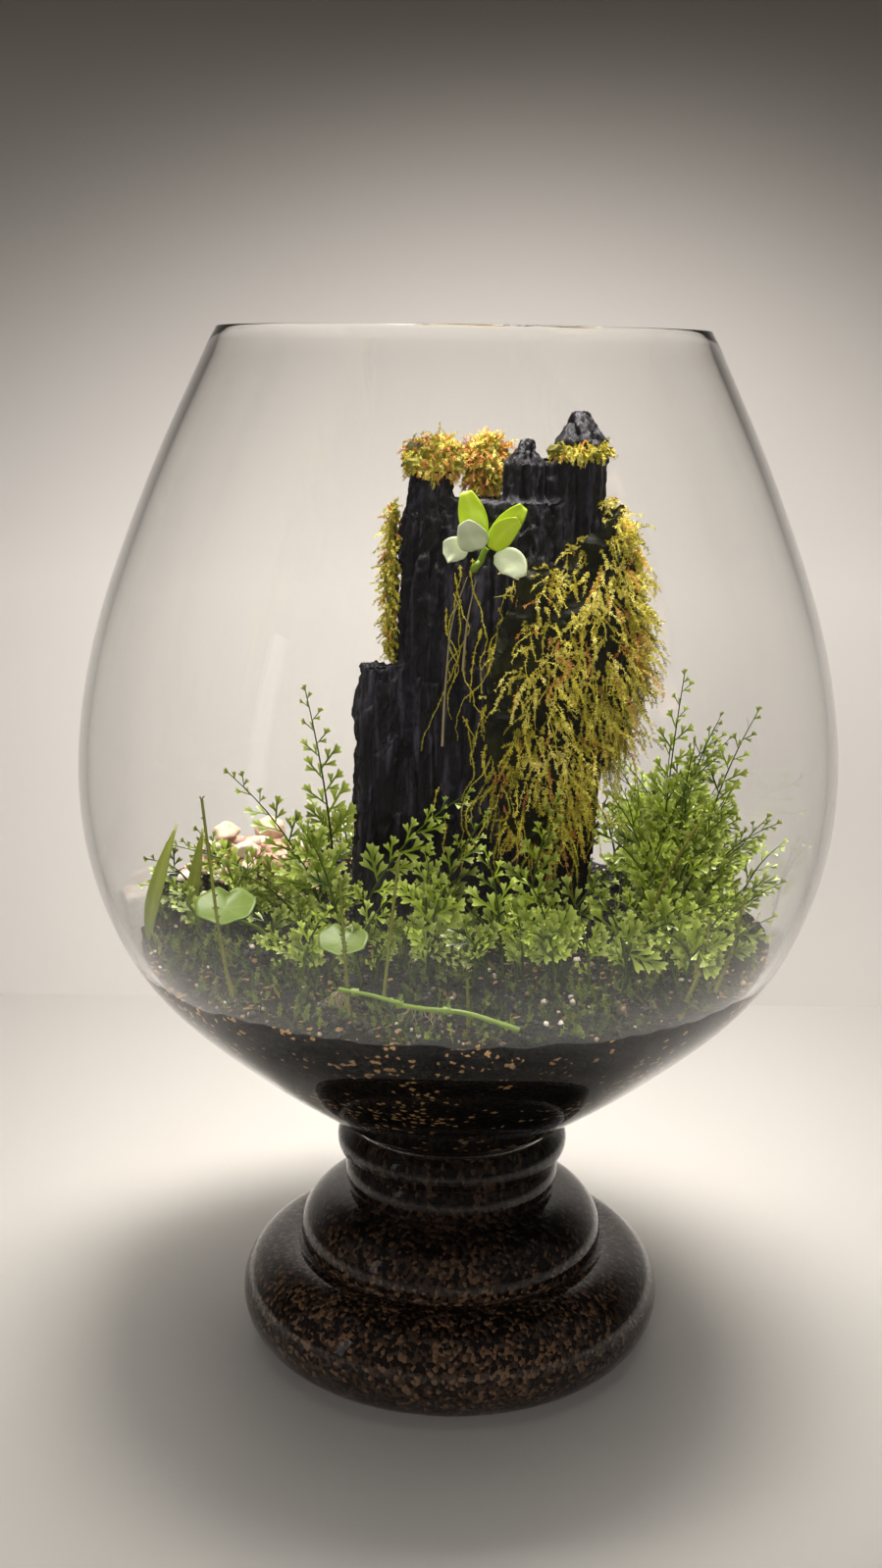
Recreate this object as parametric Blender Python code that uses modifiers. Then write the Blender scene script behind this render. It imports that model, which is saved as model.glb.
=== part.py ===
"""Planted glass terrarium: a footed, blown glass bowl with soil, a charred stump, moss and ferns.

Every separate piece is one object. The vessel stands on the ring under its foot, centred on the
origin, with +Z up. Dimensions below are in millimetres and are scaled to metres when meshes are made.
"""
import math

import bmesh
import bpy
from mathutils import Matrix, Vector

MM = 0.001
GAP = 0.4
SEGMENTS = 32

# Vessel: total height, rim, belly, wall and the rings of the foot.
HEIGHT = 278.0
RIM_RADIUS = 63.0
BOWL_RADIUS = 100.0
WALL = 2.4
BOWL_BOTTOM = 63.6
BOWL_STATIONS = (
    (RIM_RADIUS, HEIGHT), (80.6, 240.0), (94.7, 201.0), (BOWL_RADIUS, 166.0),
    (96.2, 136.0), (83.5, 110.0), (58.5, 86.0), (28.7, BOWL_BOTTOM),
)
NECK_INNER_RADIUS = 25.2
UPPER_RING = (28.4, 58.2, 3.7, 4.8)
LOWER_RING = (27.3, 48.6, 2.5, 4.6)
DOME = (26.4, 30.5, 16.0, 13.7)
FOOT = (43.7, 13.4, 15.0, 14.6)
FOOT_INSIDE = (43.7, 14.0, 12.4, 11.2)
STANDING_RING = (44.0, 49.5)
KICK_HEIGHT = 4.0

# Fill: gravel in the hollow foot, then soil up to a gently uneven surface.
GRAVEL_TOP = 62.0
SOIL_LEVEL = 117.5
MOUND = (-60.0, 34.0, 26.0, 28.0, 8.0)
STUMP_RISE = (10.0, 8.0, 45.0, 45.0, 3.0)

LEAF_THICKNESS = 0.6
STEM_WIDTH = 1.3
FROND_STALK = 0.28
PINNA_PAIRS = 6

# Stump columns: centre x, centre y, half width, half depth, bottom, top, width left at the top.
STUMP_BASE = 110.0
STUMP_COLUMNS = (
    (11.0, 8.0, 27.0, 17.0, STUMP_BASE, 235.0, 0.80),
    (-8.0, 4.0, 10.0, 11.0, STUMP_BASE, 247.0, 0.45),
    (17.0, 6.0, 6.5, 8.0, 200.0, 251.0, 0.40),
    (31.0, 6.0, 8.5, 9.0, 200.0, 258.0, 0.22),
    (-20.0, 0.0, 9.5, 9.0, STUMP_BASE, 192.0, 0.78),
    (8.0, 20.0, 17.0, 10.0, STUMP_BASE, 204.0, 0.70),
)

# Moss: each pad is a group of rounded lumps (centre, half sizes) that the stump is cut out of.
MOSS_PADS = {
    "moss_cap_left": (((-7.0, 3.0, 245.0), (8.5, 9.0, 6.5)),),
    "moss_cap_middle": (((6.5, 13.0, 243.0), (7.0, 7.5, 9.5)),),
    "moss_band_right": (((31.0, 4.0, 247.5), (8.0, 9.5, 2.6)),),
    "moss_drape": (
        ((36.0, 6.0, 199.0), (15.5, 19.0, 38.0)),
        ((22.0, -7.0, 181.0), (17.0, 9.0, 40.0)),
    ),
    "moss_side_left": (((-17.5, 5.0, 212.0), (4.0, 9.0, 24.0)),),
}

# Fern fronds: foot on the soil (x, y), tip (x, y, z), half width of the blade, facing angle.
FROND_PLANTS = {
    "fern_left": (
        ((-32.0, -3.0), (-40.0, -7.0, 184.0), 8.0, 0.0),
        ((-35.0, -8.0), (-59.0, -13.0, 163.0), 7.5, -10.0),
        ((-39.0, 1.5), (-77.0, 3.0, 139.5), 6.0, 10.0),
        ((-27.0, -17.0), (2.0, -21.5, 161.0), 7.5, 8.0),
        ((-38.0, -19.0), (-52.0, -33.0, 141.0), 6.0, -25.0),
    ),
    "fern_front": (
        ((-6.0, -24.0), (6.5, -29.0, 156.0), 6.5, 12.0),
        ((19.0, -17.0), (25.5, -19.0, 158.5), 7.5, 0.0),
        ((14.0, -31.0), (-7.0, -37.0, 141.0), 6.5, -12.0),
        ((27.0, -23.0), (42.0, -26.0, 144.0), 7.0, 8.0),
    ),
    "fern_right": (
        ((56.0, 4.0), (60.0, 1.0, 188.5), 7.5, 0.0),
        ((63.0, -3.0), (78.5, -6.0, 180.0), 7.5, 8.0),
        ((61.0, -11.0), (71.0, -14.0, 160.0), 7.5, -4.0),
        ((70.0, 6.0), (84.0, 5.0, 148.0), 7.0, 14.0),
        ((66.0, -20.0), (82.5, -23.0, 138.0), 6.0, 12.0),
        ((44.0, -24.0), (53.0, -32.0, 146.0), 7.0, -8.0),
        ((58.0, 18.0), (60.0, 24.0, 166.0), 7.5, 10.0),
        ((64.0, 28.0), (76.0, 36.0, 152.0), 7.0, 25.0),
    ),
    "fern_back": (
        ((18.0, 46.0), (27.0, 60.0, 150.0), 7.0, 165.0),
        ((-14.0, 44.0), (-27.0, 57.0, 143.0), 6.5, 190.0),
    ),
}

# Plantlet on the stump: its short rhizome and six leaves (tip, half width, facing angle).
RHIZOME = ((3.5, -13.0, 218.0), (5.5, -13.5, 221.0), (6.5, -13.5, 224.0))
RHIZOME_RADIUS = 1.0
PLANTLET_LEAVES = (
    ((0.5, -15.0, 240.0), 3.0, 0.0),
    ((17.0, -15.5, 236.0), 2.6, 10.0),
    ((0.5, -23.0, 231.0), 3.2, -8.0),
    ((-4.5, -18.5, 224.0), 3.0, -12.0),
    ((14.5, -20.0, 231.0), 2.6, 8.0),
    ((19.0, -20.0, 217.5), 3.0, 10.0),
)
PLANTLET_ROOTS = (
    ((4.0, -14.8, 215.6), (2.0, -14.5, 205.0), (1.0, -13.6, 192.0)),
    ((1.8, -15.0, 216.4), (-2.0, -14.6, 204.0), (-3.5, -13.2, 186.0), (-4.0, -12.8, 172.0)),
)

# Stems that creep on the inside of the glass: their routes from the soil upwards.
CREEPING_STEMS = (
    ((-52.0, -64.0, 119.0), (-56.0, -60.0, 134.0), (-62.0, -46.0, 165.0)),
    ((-24.5, -71.0, 119.0), (-26.0, -66.0, 134.0), (-27.5, -60.0, 149.0)),
    ((-17.0, -59.0, 119.0), (-15.5, -50.0, 136.0), (-14.0, -42.0, 150.5)),
    ((3.5, -76.0, 119.0), (3.0, -77.5, 131.0)),
    ((56.0, -57.0, 119.0), (60.0, -52.0, 128.0), (62.5, -46.0, 137.0)),
    ((64.0, -50.0, 119.0), (69.0, -44.0, 129.0), (72.0, -39.0, 140.0)),
    ((46.0, -36.5, 119.0), (51.0, -38.0, 141.0), (60.0, -37.0, 158.0)),
)
CREEPING_RADIUS = 0.8
RUNNER = (
    (-27.0, -70.0, 125.0), (-16.0, -74.5, 124.8), (-5.5, -79.3, 124.4), (4.0, -80.8, 123.0),
    (15.0, -81.6, 120.6),
)
RUNNER_RADIUS = 0.9

# Round leaves: blade centre, blade radius, foot of the leaf stalk. They tip forward by a few degrees.
ROUND_LEAF_TILT = 22.0
ROUND_LEAVES = (
    ((-57.0, -45.0, 137.0), 7.6, (-43.0, -30.0)),
    ((-27.5, -51.0, 130.7), 6.3, (-31.0, -37.0)),
)
# Strap leaves: foot (x, y), tip, half width.
STRAP_LEAVES = (
    ((-82.0, -17.0), (-75.0, -6.0, 148.0), 2.6),
    ((-72.0, -6.0), (-68.5, -2.0, 146.0), 2.4),
)

# Stones: centre x, centre y, half sizes.
LARGE_PEBBLES = (
    (-56.0, 46.0, (5.2, 4.2, 3.6)), (-68.0, 38.0, (4.2, 3.4, 2.8)), (-45.0, 36.0, (4.0, 3.2, 2.6)),
    (-60.0, 24.0, (3.6, 3.0, 2.4)), (-70.0, 26.0, (3.2, 2.6, 2.2)),
)
# Layer of small pebbles: centre x, centre y, half sizes and thickness.
PEBBLE_BED = (-57.0, 30.0, 19.0, 17.0, 4.4)
BED_CLEARANCE = 1.3
CHARCOAL = (-81.5, 14.0, (3.6, 3.0, 3.8))


def clear_scene():
    """Remove every object of the open scene."""
    for obj in list(bpy.data.objects):
        bpy.data.objects.remove(obj, do_unlink=True)


def make_collection(name):
    """Add a collection to the scene."""
    collection = bpy.data.collections.new(name)
    bpy.context.scene.collection.children.link(collection)
    return collection


def make_material(name, colour, roughness, metallic=0.0, transmission=0.0):
    """Make a Principled material; colour is linear red, green, blue."""
    material = bpy.data.materials.new(name)
    material.use_nodes = True
    shader = material.node_tree.nodes["Principled BSDF"]
    shader.inputs["Base Color"].default_value = (*colour, 1.0)
    shader.inputs["Roughness"].default_value = roughness
    shader.inputs["Metallic"].default_value = metallic
    shader.inputs["Transmission Weight"].default_value = transmission
    return material


class Palette:
    """The part's materials, one for each substance."""

    def __init__(self):
        self.glass = make_material("clear_glass", (0.93, 0.95, 0.94), 0.03, transmission=1.0)
        self.gravel = make_material("brown_gravel", (0.085, 0.055, 0.035), 0.85)
        self.soil = make_material("black_soil", (0.010, 0.009, 0.008), 0.9)
        self.charred = make_material("charred_wood", (0.012, 0.010, 0.013), 0.55)
        self.moss = make_material("moss", (0.26, 0.27, 0.035), 0.8)
        self.fern = make_material("fern_green", (0.10, 0.30, 0.035), 0.45)
        self.leaf = make_material("pale_leaf", (0.42, 0.55, 0.16), 0.4)
        self.stem = make_material("creeping_stem", (0.19, 0.21, 0.04), 0.6)
        self.pebble = make_material("cream_pebble", (0.58, 0.42, 0.31), 0.7)


def add_object(name, mesh, material, collection, location=(0.0, 0.0, 0.0)):
    """Link a mesh as a named object with one material, placed at a location in millimetres."""
    obj = bpy.data.objects.new(name, mesh)
    obj.location = Vector(location) * MM
    mesh.materials.clear()
    mesh.materials.append(material)
    collection.objects.link(obj)
    return obj


def freeze(obj):
    """Turn an object with modifiers, or a curve, into a plain welded mesh and remove the object."""
    graph = bpy.context.evaluated_depsgraph_get()
    mesh = bpy.data.meshes.new_from_object(obj.evaluated_get(graph))
    work = bmesh.new()
    work.from_mesh(mesh)
    bmesh.ops.remove_doubles(work, verts=work.verts, dist=0.00001)
    bmesh.ops.recalc_face_normals(work, faces=work.faces)
    work.to_mesh(mesh)
    work.free()
    bpy.data.objects.remove(obj, do_unlink=True)
    return mesh


def arc(shape, start, end, count):
    """Points on an ellipse (centre radius, centre height, half width, half height), in degrees."""
    centre_radius, centre_height, half_width, half_height = shape
    points = []
    for index in range(count + 1):
        angle = math.radians(start + (end - start) * index / count)
        radius = centre_radius + half_width * math.cos(angle)
        points.append((radius, centre_height + half_height * math.sin(angle)))
    return points


def smooth_through(stations, steps):
    """Points on a Catmull-Rom curve through the stations, the given steps in each span."""
    knots = [Vector(point) for point in stations]
    knots = [2 * knots[0] - knots[1], *knots, 2 * knots[-1] - knots[-2]]
    points = []
    for before, first, second, after in zip(knots, knots[1:], knots[2:], knots[3:]):
        for step in range(steps):
            t = step / steps
            curved = (2 * before - 5 * first + 4 * second - after) * t ** 2
            cubic = (3 * first - before - 3 * second + after) * t ** 3
            points.append(0.5 * (2 * first + (second - before) * t + curved + cubic))
    points.append(knots[-2])
    return [tuple(point) for point in points]


def offset_inwards(points, distance):
    """Move a profile that runs down its outer side towards the axis by a distance."""
    moved = []
    for index, point in enumerate(points):
        before = Vector(points[max(index - 1, 0)])
        after = Vector(points[min(index + 1, len(points) - 1)])
        along = (after - before).normalized()
        radius = point[0] + along.y * distance if point[0] > 0.0 else 0.0
        moved.append((radius, point[1] - along.x * distance))
    return moved


def scaled(shape, amount):
    """An ellipse shrunk all round by an amount."""
    return (shape[0], shape[1], shape[2] - amount, shape[3] - amount)


def outer_profile():
    """The vessel's outside, from the rim down to the underside of the foot."""
    bowl = smooth_through(BOWL_STATIONS, 3)
    rings = arc(UPPER_RING, 70, -70, 4) + arc(LOWER_RING, 70, -60, 4)
    foot = arc(DOME, 86, -10, 5) + arc(FOOT, 88, -62, 7)
    underside = [(radius, 0.0) for radius in reversed(STANDING_RING)]
    underside += [(STANDING_RING[0] - 4.0, KICK_HEIGHT / 2), (0.0, KICK_HEIGHT)]
    return bowl[1:] + rings + foot + underside


def inner_profile():
    """The vessel's inside, from just under the rim down to the middle of the floor."""
    bowl = offset_inwards(smooth_through(BOWL_STATIONS, 2), WALL)[1:-1]
    neck = [(NECK_INNER_RADIUS, BOWL_BOTTOM - 2.0), (NECK_INNER_RADIUS, DOME[1] + DOME[3] + 1.5)]
    dome = arc(scaled(DOME, WALL), 80, -5, 3)
    foot = arc(FOOT_INSIDE, 110, -95, 6)
    floor = [(STANDING_RING[0] - 6.0, KICK_HEIGHT / 2 + WALL), (0.0, KICK_HEIGHT + WALL)]
    return bowl + neck + dome + foot + floor


def turned(name, profile, material, collection):
    """A solid of revolution about Z from a profile of (radius, height) points."""
    mesh = bpy.data.meshes.new(name)
    points = [(radius * MM, 0.0, height * MM) for radius, height in profile]
    mesh.from_pydata(points, [(i, i + 1) for i in range(len(points) - 1)], [])
    obj = add_object(name, mesh, material, collection)
    screw = obj.modifiers.new("Turn", "SCREW")
    screw.axis = "Z"
    screw.steps = SEGMENTS
    screw.render_steps = SEGMENTS
    screw.use_merge_vertices = True
    screw.merge_threshold = 0.00001
    screw.use_smooth_shade = True
    return obj


def make_vessel(material, collection):
    """The one-piece blown glass vessel: hollow bowl, ringed neck and hollow foot."""
    lip_top = [(RIM_RADIUS - WALL + 0.4, HEIGHT), (RIM_RADIUS - 0.4, HEIGHT)]
    lip_side = [(RIM_RADIUS, HEIGHT - 0.6)]
    profile = inner_profile()[::-1] + lip_top + lip_side + outer_profile()
    return turned("glass_vessel", profile, material, collection)


def fill_wall(bottom, top):
    """The outside of a fill between two heights, a gap away from the glass, from top to bottom."""
    wall = [point for point in inner_profile() if bottom < point[1] < top]
    return offset_inwards(wall, GAP)


def wall_radius(height):
    """Radius of the fill's outside at a height in the bowl."""
    wall = offset_inwards(inner_profile(), GAP)
    for upper, lower in zip(wall, wall[1:]):
        if lower[1] <= height <= upper[1]:
            part = (height - lower[1]) / (upper[1] - lower[1])
            return lower[0] + part * (upper[0] - lower[0])
    raise ValueError("height is outside the bowl")


def make_gravel(material, collection):
    """Gravel that fills the foot, the dome and the neck."""
    radius = NECK_INNER_RADIUS - GAP
    side = fill_wall(0.0, BOWL_BOTTOM - 2.5)
    profile = [(0.0, GRAVEL_TOP), (radius - 1.0, GRAVEL_TOP), (radius, GRAVEL_TOP - 1.0)]
    return turned("foot_gravel", profile + side, material, collection)


def swell(x, y, bump):
    """Height added at a place by a rounded bump (centre x, centre y, spread x, spread y, height)."""
    centre_x, centre_y, spread_x, spread_y, height = bump
    squared = ((x - centre_x) / spread_x) ** 2 + ((y - centre_y) / spread_y) ** 2
    return height * math.exp(-squared)


def soil_height(x, y):
    """Height of the soil's surface at a place."""
    ripple = 0.7 * math.sin(x / 9.0) * math.cos(y / 11.0)
    return SOIL_LEVEL + ripple + swell(x, y, MOUND) + swell(x, y, STUMP_RISE)


def make_soil(material, collection, stump_cutter):
    """The soil: turned to the bowl's inside, its top raised into a mound, with the stump's pocket."""
    edge = wall_radius(SOIL_LEVEL)
    rings = [(edge * part, SOIL_LEVEL) for part in (0.0, 0.22, 0.42, 0.6, 0.76, 0.9, 1.0)]
    side = fill_wall(GRAVEL_TOP + 2.0, SOIL_LEVEL - 1.0)
    floor = [(NECK_INNER_RADIUS - 2.0, GRAVEL_TOP + GAP), (0.0, GRAVEL_TOP + GAP)]
    mesh = freeze(turned("soil_turned", rings + side + floor, material, collection))
    for vertex in mesh.vertices:
        place = vertex.co / MM
        if abs(place.z - SOIL_LEVEL) > 0.01:
            continue
        height = soil_height(place.x, place.y)
        radius = math.hypot(place.x, place.y)
        grow = wall_radius(height) / radius if radius > edge - 0.1 else 1.0
        vertex.co = Vector((place.x * grow, place.y * grow, height)) * MM
    soil = add_object("soil_bed", mesh, material, collection)
    cut_away(soil, stump_cutter)
    return soil


def cut_away(obj, cutter):
    """Cut one object out of another."""
    boolean = obj.modifiers.new("Cut", "BOOLEAN")
    boolean.operation = "DIFFERENCE"
    boolean.object = cutter


def join_all(name, meshes, material, collection):
    """Unite several closed meshes into one solid."""
    body = add_object(name, meshes[0], material, collection)
    for index, mesh in enumerate(meshes[1:]):
        other = add_object(f"{name}_join_{index}", mesh, material, collection)
        boolean = body.modifiers.new("Join", "BOOLEAN")
        boolean.operation = "UNION"
        boolean.object = other
        united = freeze(body)
        bpy.data.objects.remove(other, do_unlink=True)
        body = add_object(name, united, material, collection)
    return body


def column_ring(column, scale, grow, seed, sides=10):
    """One uneven outline of a wooden column, grown sideways by an amount."""
    centre_x, centre_y, half_width, half_depth = column[:4]
    ring = []
    for index in range(sides):
        angle = 2 * math.pi * index / sides
        uneven = 1.0 + 0.07 * math.sin(3 * angle + seed) + 0.04 * math.cos(5 * angle + 2 * seed)
        along_x = (half_width * scale * uneven + grow) * math.cos(angle)
        along_y = (half_depth * scale * uneven + grow) * math.sin(angle)
        ring.append((centre_x + along_x, centre_y + along_y))
    return ring


def column_mesh(name, column, grow, seed):
    """A column of split wood: a loft of uneven outlines that narrows to its broken top."""
    bottom, top, top_scale = column[4] - grow, column[5], column[6]
    levels = (
        (bottom, 0.94), (bottom + (top - bottom) * 0.45, 1.0),
        (top - (top - bottom) * 0.14, 0.95), (top + grow, top_scale),
    )
    work = bmesh.new()
    rings = []
    for level, (height, scale) in enumerate(levels):
        outline = column_ring(column, scale, grow, seed + 0.35 * level)
        rings.append([work.verts.new(Vector((x, y, height)) * MM) for x, y in outline])
    sides = len(rings[0])
    for lower, upper in zip(rings, rings[1:]):
        for index in range(sides):
            after = (index + 1) % sides
            work.faces.new((lower[index], lower[after], upper[after], upper[index]))
    work.faces.new(rings[0][::-1])
    work.faces.new(rings[-1])
    bmesh.ops.triangulate(work, faces=work.faces)
    mesh = bpy.data.meshes.new(name)
    work.to_mesh(mesh)
    work.free()
    return mesh


def make_stump(name, material, collection, grow=0.0):
    """The charred stump: six columns of split wood grown together, as one solid."""
    meshes = [
        column_mesh(f"{name}_{index}", column, grow, 1.7 * index)
        for index, column in enumerate(STUMP_COLUMNS)
    ]
    return join_all(name, meshes, material, collection)


def lump_mesh(name, centre, half_sizes, fineness=2, seed=0.0):
    """A rounded, slightly uneven lump: a stone or a cushion of moss."""
    work = bmesh.new()
    bmesh.ops.create_icosphere(work, subdivisions=fineness, radius=1.0)
    for vertex in work.verts:
        x, y, z = vertex.co
        uneven = 1.0 + 0.06 * math.sin(4 * x + seed) * math.cos(3 * y + 2 * z + seed)
        size = [part * half * uneven for part, half in zip((x, y, z), half_sizes)]
        vertex.co = (Vector(centre) + Vector(size)) * MM
    mesh = bpy.data.meshes.new(name)
    work.to_mesh(mesh)
    work.free()
    return mesh


def make_moss(palette, collection, stump_cutter):
    """Cushions and drapes of moss that lie on the stump."""
    for seed, (name, lumps) in enumerate(MOSS_PADS.items()):
        meshes = [
            lump_mesh(f"{name}_{index}", centre, sizes, 3 if sizes[2] > 30 else 2, seed + index)
            for index, (centre, sizes) in enumerate(lumps)
        ]
        pad = join_all(name, meshes, palette.moss, collection)
        cut_away(pad, stump_cutter)


def tube(name, route, radius, material, collection):
    """A round stem along a smooth line through the points of its route."""
    origin = Vector(route[0])
    curve = bpy.data.curves.new(name, "CURVE")
    curve.dimensions = "3D"
    curve.bevel_depth = radius * MM
    curve.bevel_resolution = 1
    curve.use_fill_caps = True
    points = smooth_through(route, 3)
    spline = curve.splines.new("POLY")
    spline.points.add(len(points) - 1)
    for control, point in zip(spline.points, points):
        control.co = (*((Vector(point) - origin) * MM), 1.0)
    return add_object(name, curve, material, collection, origin)


def blade_mesh(name, outline, place_on_spine):
    """A thin blade: a flat extruded outline (along, across) bent onto a spine."""
    curve = bpy.data.curves.new(name, "CURVE")
    curve.dimensions = "2D"
    curve.fill_mode = "BOTH"
    curve.extrude = LEAF_THICKNESS / 2
    spline = curve.splines.new("POLY")
    spline.points.add(len(outline) - 1)
    for control, (along, across) in zip(spline.points, outline):
        control.co = (along, across, 0.0, 1.0)
    spline.use_cyclic_u = True
    flat = bpy.data.objects.new(name, curve)
    bpy.context.scene.collection.objects.link(flat)
    mesh = freeze(flat)
    for vertex in mesh.vertices:
        vertex.co = place_on_spine(*vertex.co) * MM
    return mesh


def spine_placer(base, bend, tip, length, facing):
    """Make the rule that places a blade's flat points on an arched spine.

    base, bend and tip are the spine's control points relative to the base. facing is the compass
    angle, in degrees, that the blade's face turns to, with zero towards -Y.
    """
    angle = math.radians(facing)
    outward = Vector((math.sin(angle), -math.cos(angle), 0.25)).normalized()
    chord_side = (tip - base).cross(outward).normalized()

    def place(along, across, through):
        t = min(max(along / length, 0.0), 1.0)
        centre = (1 - t) ** 2 * base + 2 * t * (1 - t) * bend + t ** 2 * tip
        heading = ((1 - t) * (bend - base) + t * (tip - bend)).normalized()
        sideways = (chord_side - heading * chord_side.dot(heading)).normalized()
        normal = heading.cross(sideways)
        return centre + sideways * across + normal * through

    return place


def frond_mesh(name, length, half_width, place_on_spine):
    """A frond as an open surface: a rachis with a blunt pinna on alternate sides of its steps."""
    work = bmesh.new()
    stem = STEM_WIDTH / 2
    stalk = length * FROND_STALK
    steps = 2 * PINNA_PAIRS
    pitch = (length - stalk) / (steps + 1)

    def corner(along, across):
        return work.verts.new(place_on_spine(along, across, 0.0) * MM)

    rows = [(corner(along, -stem), corner(along, stem)) for along in (0.0, stalk / 2)]
    for step in range(steps + 1):
        along = stalk + pitch * step
        rows.append((corner(along, -stem), corner(along, stem)))
    for (right, left), (next_right, next_left) in zip(rows, rows[1:]):
        work.faces.new((right, next_right, next_left, left))
    work.faces.new((*rows[-1], corner(length, 0.0))[::-1])
    for step in range(steps):
        side = -1 if step % 2 == 0 else 1
        part = (step // 2) / PINNA_PAIRS
        along = stalk + pitch * step
        reach = half_width * (1.0 - part) ** 0.7 * min(1.0, 0.65 + 1.8 * part)
        near = corner(along + 0.5 * reach, side * reach)
        far = corner(along + 0.5 * reach + 0.8 * pitch, side * reach * 0.9)
        edge = 0 if side < 0 else 1
        root, end = rows[step + 2][edge], rows[step + 3][edge]
        face = (root, near, far, end)
        work.faces.new(face if side < 0 else face[::-1])
    bmesh.ops.triangulate(work, faces=work.faces)
    mesh = bpy.data.meshes.new(name)
    work.to_mesh(mesh)
    work.free()
    return mesh


def make_fronds(palette, collection):
    """The fern fronds, each on its own arched spine from the soil to its tip."""
    for plant, fronds in FROND_PLANTS.items():
        for number, ((x, y), tip, half_width, facing) in enumerate(fronds, start=1):
            base = Vector((x, y, soil_height(x, y) + 2 * GAP))
            reach = Vector(tip) - base
            bend = Vector((reach.x * 0.2, reach.y * 0.3, reach.z * 0.62))
            length = 0.5 * (reach.length + bend.length + (reach - bend).length)
            place = spine_placer(Vector(), bend, reach, length, facing)
            name = f"{plant}_{number}"
            mesh = frond_mesh(name, length, half_width, place)
            frond = add_object(name, mesh, palette.fern, collection, base)
            thickness = frond.modifiers.new("Thickness", "SOLIDIFY")
            thickness.thickness = LEAF_THICKNESS * MM
            thickness.offset = 0.0


def leaf_outline(length, half_width, count=6):
    """A pointed oval leaf's outline."""
    edge = []
    for index in range(1, count):
        part = index / count
        width = half_width * math.sin(math.pi * part) ** 0.8 * (1.15 - 0.3 * part)
        edge.append((length * part, max(width, 0.5)))
    lower = [(along, -across) for along, across in edge]
    return [(0.0, -0.5)] + lower + [(length, 0.0)] + edge[::-1] + [(0.0, 0.5)]


def make_plantlet(palette, collection):
    """The small epiphyte on the stump: rhizome, leaves and hanging roots."""
    tube("epiphyte_rhizome", RHIZOME, RHIZOME_RADIUS, palette.leaf, collection)
    heart = Vector(RHIZOME[1])
    for number, (tip, half_width, facing) in enumerate(PLANTLET_LEAVES, start=1):
        direction = (Vector(tip) - heart).normalized()
        base = heart + direction * 3.4 + Vector((0.0, -0.8, 0.0))
        reach = Vector(tip) - base
        bend = reach * 0.5 + Vector((0.0, -1.5, 0.8))
        place = spine_placer(Vector(), bend, reach, reach.length, facing)
        name = f"epiphyte_leaf_{number}"
        mesh = blade_mesh(name, leaf_outline(reach.length, half_width), place)
        add_object(name, mesh, palette.leaf, collection, base)
    for number, route in enumerate(PLANTLET_ROOTS, start=1):
        tube(f"epiphyte_root_{number}", route, 0.35, palette.leaf, collection)


def make_round_leaf(number, leaf, palette, collection):
    """A notched round leaf that faces up and forward on a thin stalk."""
    centre, radius, (foot_x, foot_y) = leaf
    outline = []
    for index in range(13):
        angle = math.radians(20 + 320 * index / 12)
        outline.append((radius * math.cos(angle), radius * math.sin(angle)))
    outline.append((radius * 0.35, 0.0))
    tilt = Matrix.Rotation(math.radians(ROUND_LEAF_TILT), 3, "X")
    mesh = blade_mesh(f"round_leaf_{number}", outline, lambda x, y, z: tilt @ Vector((-x, -y, z)))
    add_object(f"round_leaf_{number}", mesh, palette.leaf, collection, centre)
    foot = Vector((foot_x, foot_y, soil_height(foot_x, foot_y) + 3 * GAP))
    top = Vector(centre) - Vector((0.0, 0.0, 2.2))
    middle = foot.lerp(top, 0.5) + Vector((0.0, 0.0, 3.0))
    tube(f"round_leaf_stalk_{number}", (foot, middle, top), 0.6, palette.stem, collection)


def make_strap_leaf(number, leaf, palette, collection):
    """A narrow upright leaf."""
    (x, y), tip, half_width = leaf
    base = Vector((x, y, soil_height(x, y) + 2 * GAP))
    reach = Vector(tip) - base
    bend = Vector((reach.x * 0.25, reach.y * 0.25, reach.z * 0.6))
    place = spine_placer(Vector(), bend, reach, reach.length, 0.0)
    mesh = blade_mesh(f"strap_leaf_{number}", leaf_outline(reach.length, half_width), place)
    add_object(f"strap_leaf_{number}", mesh, palette.stem, collection, base)


def make_stems(palette, collection):
    """The runner and the mossy stems that creep on the inside of the glass."""
    tube("runner_stem", RUNNER, RUNNER_RADIUS, palette.leaf, collection)
    for number, route in enumerate(CREEPING_STEMS, start=1):
        tube(f"creeping_stem_{number}", route, CREEPING_RADIUS, palette.stem, collection)


def make_pebble_bed(material, collection):
    """The layer of small pebbles: a low cushion whose underside follows the mound of soil."""
    centre_x, centre_y, half_x, half_y, thickness = PEBBLE_BED
    work = bmesh.new()
    bmesh.ops.create_icosphere(work, subdivisions=3, radius=1.0)
    for vertex in work.verts:
        x = centre_x + half_x * vertex.co.x
        y = centre_y + half_y * vertex.co.y
        height = soil_height(x, y) + BED_CLEARANCE + (vertex.co.z + 1.0) * thickness / 2
        vertex.co = Vector((x, y, height)) * MM
    mesh = bpy.data.meshes.new("pebble_bed")
    work.to_mesh(mesh)
    work.free()
    add_object("pebble_bed", mesh, material, collection)


def make_stones(palette, collection):
    """The pebble bed, five large pebbles on it and a piece of charcoal beside it."""
    make_pebble_bed(palette.pebble, collection)
    for number, (x, y, sizes) in enumerate(LARGE_PEBBLES, start=1):
        mesh = lump_mesh(f"pebble_{number}", (0, 0, 0), sizes, seed=number)
        floor = soil_height(x, y) + BED_CLEARANCE + PEBBLE_BED[4] + GAP
        place = (x, y, floor + sizes[2])
        add_object(f"pebble_{number}", mesh, palette.pebble, collection, place)
    x, y, sizes = CHARCOAL
    lump = lump_mesh("charcoal_piece", (0, 0, 0), sizes, seed=5)
    place = (x, y, soil_height(x, y) + BED_CLEARANCE + sizes[2])
    add_object("charcoal_piece", lump, palette.charred, collection, place)


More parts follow.
